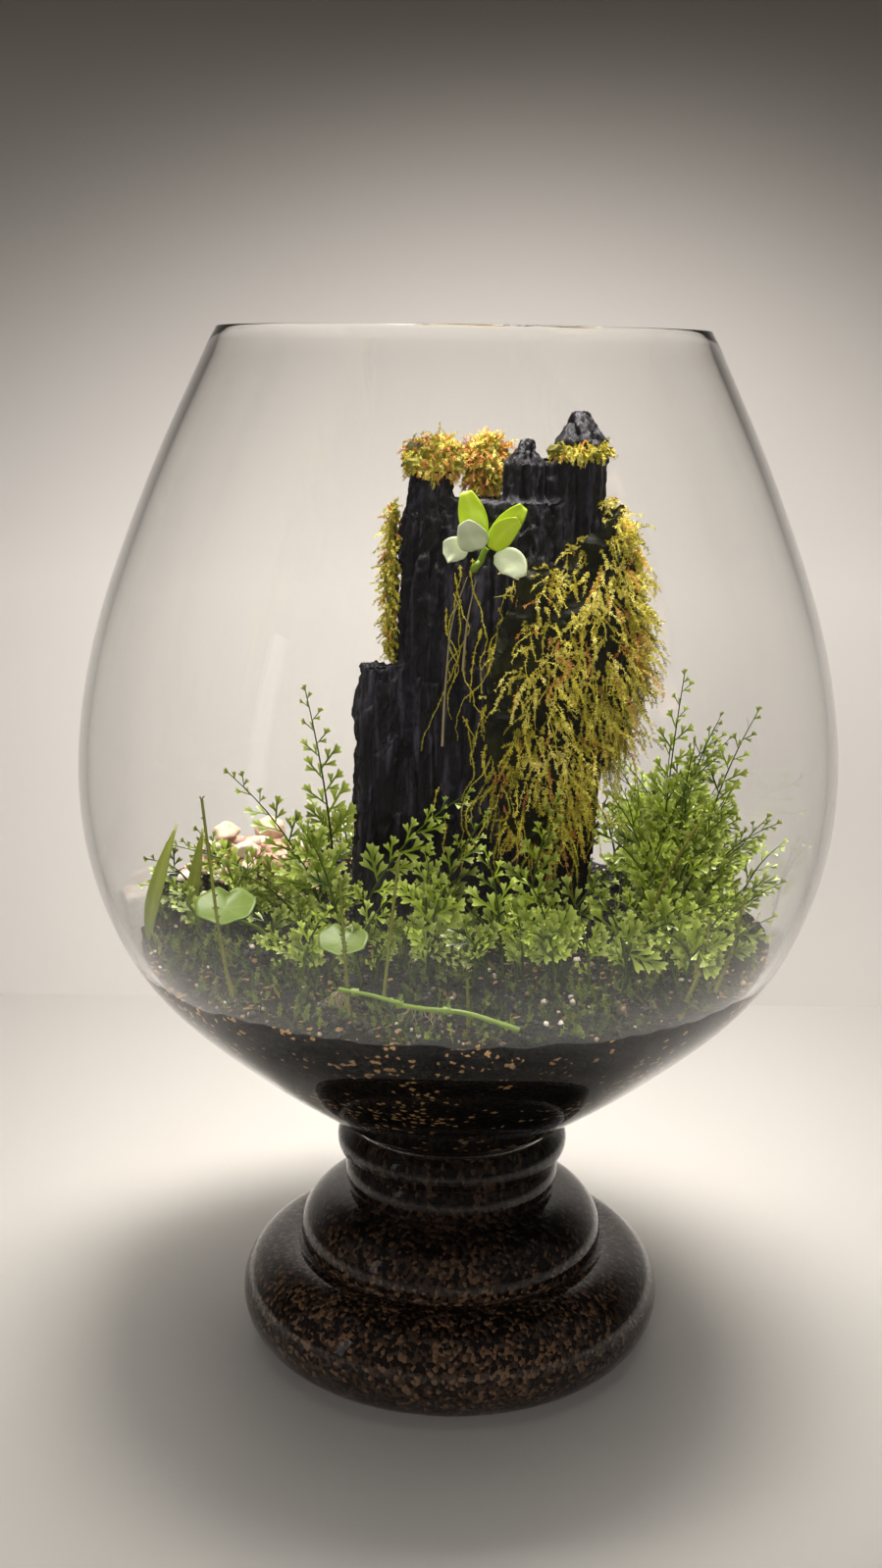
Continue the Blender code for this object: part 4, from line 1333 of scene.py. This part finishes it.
@dataclass
class Ferns:
    """Fern fronds: stalks with alternate forked pinnae, one for each CAD frond and many around it."""

    sprinkler: Sprinkler
    ground: Ground
    vessel: Vessel
    seed: int = 21

    def frond(self, rng: Rng, spine: Spine, widest: float, tint: float) -> None:
        """Add one frond to the plant being grown.

        Args:
            rng: Random numbers.
            spine: Its line.
            widest: Length of its longest pinna in metres.
            tint: Its green, from blue-green at 0 to yellow-green at 1.
        """
        length = spine.length
        self.routes.append([spine.at(t) for t in np.linspace(0, 1, 14)])
        self.radii.append((0.42 * MM, 0.13 * MM))
        steps = max(5, int(0.8 * length / (3.3 * MM)))
        for index in range(steps):
            part = (index + 0.3 * rng.random()) / steps
            sign = 1 if index % 2 else -1
            t = 0.2 + 0.78 * part
            place, along = spine.at(t), spine.heading(t)
            side = unit(np.cross(along, spine.face))
            reach = widest * (1.0 - part) ** 0.5 * min(1.0, 0.6 + 2.5 * part)
            reach = max(reach, 4.2 * MM) * (0.8 + 0.4 * rng.random())
            heading = unit(side * sign + along * (0.95 + 0.5 * part) + rng.normal(size=3) * 0.16)
            facing = unit(spine.face + np.array([0, 0, 0.45]) + rng.normal(size=3) * 0.32)
            lobes = 6 if part < 0.3 and reach > 6 * MM else 4 if part < 0.7 else 3
            self.pinna(place, heading, facing, reach, lobes, tint + rng.normal() * 0.2)
        self.pinna(spine.at(0.97), spine.heading(0.98), spine.face, 4.6 * MM, 3, tint + 0.1)

    def pinna(
        self, place: Place, heading: Place, facing: Place, reach: float, lobes: int, tint: float,
    ) -> None:
        """Add a pinna, shortened where it would reach the glass."""
        for _ in range(4):
            if self.vessel.holds(place + heading * reach * 1.05, 1.3):
                self.marks[lobes].add(place, heading, facing, reach, float(np.clip(tint, 0, 1)))
                return
            reach *= 0.7

    def companion(self, rng: Rng, clump: Clump) -> Spine | None:
        """A frond of a clump, or nothing where the stump or the glass is in its way.

        Args:
            rng: Random numbers.
            clump: The clump.

        Returns:
            The frond's spine.
        """
        spread, a = math.sqrt(rng.random()), rng.random() * 2 * math.pi
        x = (clump.middle[0] + clump.spread[0] * spread * math.cos(a)) * MM
        y = (clump.middle[1] + clump.spread[1] * spread * math.sin(a)) * MM
        if math.hypot(x, y) > 0.083 or self.ground.blocked(x, y):
            return None
        foot = np.array([x, y, self.ground.height(x, y) - 0.4 * MM])
        low, high = clump.lengths
        length = (low + (high - low) * rng.random() ** 1.3) * MM
        lean = np.array([*clump.lean, 0]) + np.array([rng.normal(), rng.normal(), 0]) * 0.34
        reach = unit(lean + np.array([0, 0, 0.9])) * length
        tip = foot + reach
        for _ in range(6):
            if self.vessel.holds(tip, 3.0):
                break
            tip = foot + (tip - foot) * np.array([0.6, 0.6, 0.9])
        flat = (tip - foot) * np.array([1.0, 1.0, 0.0])
        middle = foot + 0.5 * (tip - foot) - 0.16 * flat + np.array([0, 0, 0.10 * length])
        face = unit(np.array([0.5 * rng.normal(), -1.0, 0.25 + 0.3 * rng.normal()]))
        return Spine(foot, middle, tip, face, 0.0)

    def build(self) -> None:
        """Grow every CAD frond, and a clump around some of them."""
        for number, node in enumerate(sorted(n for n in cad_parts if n.startswith("fern_"))):
            rng = np.random.default_rng(self.seed + number)
            self.marks = {lobes: Marks() for lobes in (3, 4, 6)}
            self.routes, self.radii = [], []
            spine = Spine.of(node)
            clump = CLUMPS.get(node)
            self.frond(rng, spine, min(0.26 * spine.length + 2 * MM, 11.0 * MM), 0.6)
            for _ in range(clump.count if clump else 0):
                other = self.companion(rng, clump)
                if other is not None:
                    widest = min(0.28 * other.length + 4.0 * MM, 11.5 * MM)
                    self.frond(rng, other, widest, clump.tint + 0.16 * rng.normal())
            parts = [tubes(node + "_stalks", self.routes, self.radii, Finish.FERN, 1, 0.12)]
            for lobes, marks in self.marks.items():
                if marks.places:
                    name = f"{node}_pinnae_{lobes}"
                    parts.append(self.sprinkler.scatter(name, pinna_shape(lobes), marks, Finish.FERN))
            settle(join(node + "_frond", parts), "fern_green", node)


@dataclass
class Blades:
    """Broad leaves: the plantlet's leaves, the round leaves and the straps."""

    def blade(
        self, name: str, spine: Spine, half_width: float, blunt: float, finish: Finish,
    ) -> bpy.types.Object:
        """Loft a leaf along a spine, folded along its midrib.

        Args:
            name: The leaf's name.
            spine: Its line.
            half_width: Half its greatest width in metres.
            blunt: How full the tip is, from 0 to 1.
            finish: Its finish.

        Returns:
            The leaf.
        """
        rows, columns = 16, 9
        points, tips, faces = [], [], []
        for i in range(rows):
            t = i / (rows - 1)
            along = spine.heading(t)
            side = unit(np.cross(along, spine.face))
            up = np.cross(side, along)
            swell = math.sin(math.pi * min(t * (1 - 0.12 * blunt) + 0.03, 1.0)) ** (0.85 - 0.3 * blunt)
            width = max(half_width * swell * (1.15 - 0.25 * t), 0.25 * MM)
            for j in range(columns):
                v = -1 + 2 * j / (columns - 1)
                cup = 0.22 * abs(v) ** 1.5 * width + 0.05 * width * math.sin(9 * t + 2 * v)
                points.append(spine.at(t) + side * v * width + up * cup)
                tips.append(0.25 * t + 0.3 * (1 - abs(v)) ** 6)
        for i in range(rows - 1):
            for j in range(columns - 1):
                a = i * columns + j
                faces.append((a, a + 1, a + columns + 1, a + columns))
        mesh = new_mesh(name, points, faces, {"tip": tips, "tint": [0.6] * len(points)})
        leaf = link(name, mesh, finish)
        self.thicken(leaf, 0.28)
        return leaf

    @staticmethod
    def thicken(leaf: bpy.types.Object, depth: float) -> None:
        """Give a sheet a real thickness in millimetres and make it a plain mesh."""
        solid = leaf.modifiers.new("Thickness", "SOLIDIFY")
        solid.thickness = depth * MM
        solid.offset = 0.0
        mesh = plain(leaf)
        leaf.modifiers.clear()
        leaf.data = mesh

    def round_leaf(self, number: int) -> None:
        """A notched round leaf with a slightly wavy edge."""
        node = f"round_leaf_{number}"
        points = cad_points(node)
        centre = points.mean(0)
        spread = np.linalg.svd(points - centre, full_matrices=False)[2]
        face = spread[2] if spread[2][2] > 0 else -spread[2]
        right = unit(np.cross(np.array([0, 0, 1.0]), face))
        back = np.cross(face, right)
        radius = np.abs((points - centre) @ right).max()
        rings, sides = 8, 40
        verts, tips, faces = [centre], [0.5], []
        for ring in range(1, rings + 1):
            part = ring / rings
            for step in range(sides):
                angle = 2 * math.pi * step / sides
                notch = 1.0 - 0.42 * math.exp(-((angle - math.pi / 2) / 0.20) ** 2)
                wave = 1 + 0.03 * math.sin(7 * angle)
                reach = radius * part * (1 - (1 - notch) * part) * wave
                cup = radius * (0.16 * part ** 2 + 0.03 * math.sin(5 * angle) * part ** 2)
                verts.append(
                    centre + right * reach * math.cos(angle) + back * reach * math.sin(angle) + face * cup
                )
                vein = max(0.0, math.cos(angle * 4.5)) ** 8 * 0.5
                tips.append(vein * (1 - part) + 0.1)
        for step in range(sides):
            after = (step + 1) % sides
            faces.append((0, 1 + step, 1 + after))
            for ring in range(rings - 1):
                a, b = 1 + ring * sides, 1 + (ring + 1) * sides
                faces.append((a + step, b + step, b + after, a + after))
        name = f"round_blade_{number}"
        mesh = new_mesh(name, verts, faces, {"tip": tips, "tint": [0.6] * len(verts)})
        leaf = link(name, mesh, Finish.ROUND)
        self.thicken(leaf, 0.3)
        settle(leaf, "pale_leaf", node)

    def build(self) -> None:
        """Make every broad leaf."""
        for number in range(1, 7):
            node = f"epiphyte_leaf_{number}"
            spine = Spine.of(node)
            heart = sum(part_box("epiphyte_rhizome"), Vector()) / 2
            if np.linalg.norm(spine.tip - heart) < np.linalg.norm(spine.foot - heart):
                spine.foot, spine.tip = spine.tip, spine.foot
            finish = Finish.BRIGHT if number in (1, 2, 5) else Finish.LEAF
            if number in (1, 2):
                spine.tip = spine.foot + (spine.tip - spine.foot) * 0.86
            leaf = self.blade(f"plantlet_leaf_{number}", spine, spine.half_width * 1.15, 0.9, finish)
            settle(leaf, "pale_leaf", node)
        for number in (1, 2):
            self.round_leaf(number)
            spine = Spine.of(f"strap_leaf_{number}")
            leaf = self.blade(f"olive_strap_{number}", spine, spine.half_width * 0.62, 0.2, Finish.STRAP)
            settle(leaf, "creeping_stem", f"strap_leaf_{number}")


@dataclass
class Stems:
    """Runner, creeping stems, leaf stalks and roots."""

    sprinkler: Sprinkler
    ground: Ground
    vessel: Vessel
    seed: int = 31

    def route_of(self, node: str, count: int = 14) -> list:
        """Places along the middle of a CAD stem, found ring by ring."""
        points = cad_points(node)
        axis = np.linalg.svd(points - points.mean(0), full_matrices=False)[2][0]
        if axis[2] < 0:
            axis = -axis
        along = points @ axis
        edges = np.linspace(along.min(), along.max(), count + 1)
        route = []
        for low, high in zip(edges, edges[1:]):
            held = points[(along >= low - 1e-5) & (along <= high + 1e-5)]
            if len(held) > 3:
                route.append(held.mean(0))
        return route

    def line(self, node: str, count: int = 14, steps: int = 4) -> list:
        """A smooth line through the middle of a CAD stem."""
        return self.vessel.smooth(tuple(map(tuple, self.route_of(node, count))), steps)

    def creeping(self, number: int) -> None:
        """A creeping stem clothed in short mossy scales."""
        rng = np.random.default_rng(self.seed + number)
        node = f"creeping_stem_{number}"
        route = self.line(node, 9, 5)
        marks = Marks()
        for before, place in zip(route, route[1:]):
            before, place = np.array(before), np.array(place)
            along = unit(place - before)
            for _ in range(5):
                side = unit(np.cross(along, rng.normal(size=3)))
                heading = unit(side + along * 0.6)
                size = (0.9 + 0.6 * rng.random()) * MM
                if self.vessel.holds(place + heading * size, 0.2):
                    marks.add(place, heading, np.cross(heading, along), size, rng.random())
        scales = self.sprinkler.scatter(node + "_scales", leaflet_shape(), marks, Finish.STEM)
        core = tubes(node + "_core", [route], [(0.5 * MM, 0.35 * MM)], Finish.STEM, 2)
        settle(join(f"mossy_stem_{number}", [scales, core]), "creeping_stem", node)

    def root_hairs(self) -> None:
        """Pale roots in the soil against the glass and tufts under the runner."""
        rng = np.random.default_rng(self.seed)
        routes, radii = [], []
        for _ in range(26):
            angle = math.radians(rng.uniform(232, 262))
            height = rng.uniform(104.0, 114.0)
            route = []
            for _ in range(12):
                wide = (self.vessel.radius_at(height) - 0.35) * MM
                route.append((wide * math.cos(angle), wide * math.sin(angle), height * MM))
                angle += rng.normal() * 0.012
                height -= rng.uniform(0.2, 1.1)
            routes.append(route)
            radii.append((0.16 * MM, 0.08 * MM))
        line = self.route_of("runner_stem")
        for index in (5, 6, 11, 12, 13):
            for _ in range(6):
                place = np.array(line[min(index, len(line) - 1)])
                route = [place]
                for _ in range(5):
                    place = place + np.array([rng.normal() * 0.7, rng.normal() * 0.3, -0.8]) * MM
                    wide = math.hypot(place[0], place[1])
                    limit = (self.vessel.radius_at(place[2] / MM) - 0.4) * MM
                    if wide > limit:
                        place[:2] *= limit / wide
                    route.append(place)
                routes.append(route)
                radii.append((0.14 * MM, 0.06 * MM))
        settle(tubes("root_hairs", routes, radii, Finish.ROOT, 1), "pale_leaf")

    def runner(self) -> None:
        """The runner: a slightly sagging stem with swollen joints and a few stubs of leaf stalks."""
        coarse = self.line("runner_stem")
        line, count = [], len(coarse) - 1
        for index, place in enumerate(coarse):
            part = index / count
            bend = 0.5 * math.sin(2.2 * math.pi * part) + 0.25 * math.sin(9 * part)
            line.append((place[0], place[1], place[2] + bend * MM))
        joints = [line[int(part * count)] for part in (0.36, 0.66, 0.97)]
        knots = [[(x - 0.9 * MM, y, z), (x, y, z), (x + 0.9 * MM, y, z)] for x, y, z in joints]
        stubs = [[(x, y, z), (x + 0.6 * MM, y, z + 2.4 * MM)] for x, y, z in joints[:2]]
        parts = [
            tubes("runner_line", [line], [(0.62 * MM, 0.52 * MM)], Finish.RUNNER, 3),
            tubes("runner_joints", knots, [(1.0 * MM, 0.9 * MM)] * 3, Finish.RUNNER, 3),
            tubes("runner_stubs", stubs, [(0.45 * MM, 0.2 * MM)] * 2, Finish.RUNNER, 2),
        ]
        settle(join("runner", parts), "pale_leaf", "runner_stem")

    def build(self) -> None:
        """Make every stem."""
        for number in range(1, 8):
            self.creeping(number)
        self.runner()
        for node, name, count, radii, finish, sides, slot in (
            ("round_leaf_stalk_1", "leaf_stalk_1", 7, (0.6, 0.4), Finish.ROUND, 2, "creeping_stem"),
            ("epiphyte_root_1", "hanging_root_1", 9, (0.35, 0.12), Finish.ROOT, 2, "pale_leaf"),
            ("round_leaf_stalk_2", "leaf_stalk_2", 7, (0.6, 0.4), Finish.ROUND, 2, "creeping_stem"),
            ("epiphyte_root_2", "hanging_root_2", 9, (0.35, 0.12), Finish.ROOT, 2, "pale_leaf"),
            ("epiphyte_rhizome", "rhizome", 6, (1.0, 0.8), Finish.RUNNER, 3, "pale_leaf"),
        ):
            radii = [(radii[0] * MM, radii[1] * MM)]
            settle(tubes(name, [self.line(node, count)], radii, finish, sides), slot, node)
        self.root_hairs()


@dataclass
class Studio:
    """Camera, floor, backdrop and lamps."""

    focal: float = 41.88
    distance: float = 0.479
    eye_height: float = 0.270
    pitch: float = 13.06
    yaw: float = 0.52
    roll: float = 0.75
    wall_distance: float = 0.27

    def camera(self) -> None:
        """Set up the camera, a little below the rim's height and looking down."""
        data = bpy.data.cameras.new("view")
        data.lens = self.focal
        data.sensor_width = 36.0
        camera = bpy.data.objects.new("view", data)
        turn = Matrix.Rotation(math.radians(self.yaw), 4, "Z")
        tilt = Matrix.Rotation(math.radians(90 - self.pitch), 4, "X")
        lean = Matrix.Rotation(math.radians(self.roll), 4, "Z")
        place = Matrix.Translation((0.0, -self.distance, self.eye_height))
        camera.matrix_world = place @ turn @ tilt @ lean
        bpy.context.scene.collection.objects.link(camera)
        bpy.context.scene.camera = camera

    def sheet(self, name: str, corners: list, finish: Painted) -> None:
        """A flat stage sheet."""
        mesh = new_mesh(name, corners, [(0, 1, 2, 3)])
        sheet = link(name, mesh)
        mesh.materials.append(finish.make())

    def lamp(
        self, name: str, place: Place, target: Place, size: Place, power: float, colour: str,
    ) -> bpy.types.Object:
        """A soft lamp aimed at a place.

        Args:
            name: Its name.
            place: Where it hangs.
            target: What it is aimed at.
            size: Its width and height.
            power: Its power in watts.
            colour: Its colour.

        Returns:
            The lamp.
        """
        data = bpy.data.lights.new(name, "AREA")
        data.shape = "RECTANGLE"
        data.size, data.size_y = size
        data.energy = power
        data.color = srgb(colour)[:3]
        lamp = bpy.data.objects.new(name, data)
        lamp.location = place
        aim = Vector(target) - Vector(place)
        lamp.rotation_euler = aim.to_track_quat("-Z", "Y").to_euler()
        bpy.context.scene.collection.objects.link(lamp)
        return lamp

    def build(self) -> None:
        """Make the whole studio."""
        self.camera()
        y = self.wall_distance
        floor = [(-3, -3, 0), (3, -3, 0), (3, 3, 0), (-3, 3, 0)]
        wall = [(-3, y, 0), (3, y, 0), (3, y, 3), (-3, y, 3)]
        self.sheet("floor", floor, Painted("laminate_table_top", "#C8C5C0"))
        # the wall's second, darker colour is painted shade towards its top
        self.sheet("backdrop", wall, Painted("wall_paint_with_painted_shade", "#D9D5D1", "#6F6963"))
        top = self.lamp("top_lamp", (0.03, 0.03, 0.47), (0.01, 0.13, 0.1), (0.2, 0.12), 1.12, "#FFFAF5")
        top.data.spread = math.radians(104)
        fill = self.lamp("front_fill", (-0.3, -1.0, 0.26), (0, 0, 0.19), (0.5, 0.3), 0.95, "#FFFBF7")
        fill.data.spread = math.radians(70)
        fill.visible_glossy = False
        fill.visible_transmission = False
        self.lamp("window_strip", (-0.9, -0.6, 0.32), (0, 0, 0.2), (0.10, 0.6), 0.12, "#FFFFFF")
        world = bpy.data.worlds.new("room")
        world.use_nodes = True
        back = world.node_tree.nodes["Background"]
        back.inputs["Color"].default_value = srgb("#C9C6C3")
        back.inputs["Strength"].default_value = 0.12
        bpy.context.scene.world = world
        bpy.context.scene.view_settings.view_transform = "Standard"


def main() -> None:
    """Build every class in order."""
    logging.basicConfig(level=logging.INFO, format="%(message)s")
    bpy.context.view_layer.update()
    studio = Studio()
    studio.build()
    sprinkler = Sprinkler()
    vessel = Vessel()
    vessel.build()
    ground = Ground(vessel, sprinkler)
    ground.build()
    Stump().build()
    MossGrowth(sprinkler).build(ground, vessel)
    Ferns(sprinkler, ground, vessel).build()
    Blades().build()
    Stems(sprinkler, ground, vessel).build()


if __name__ == "__main__":
    main()
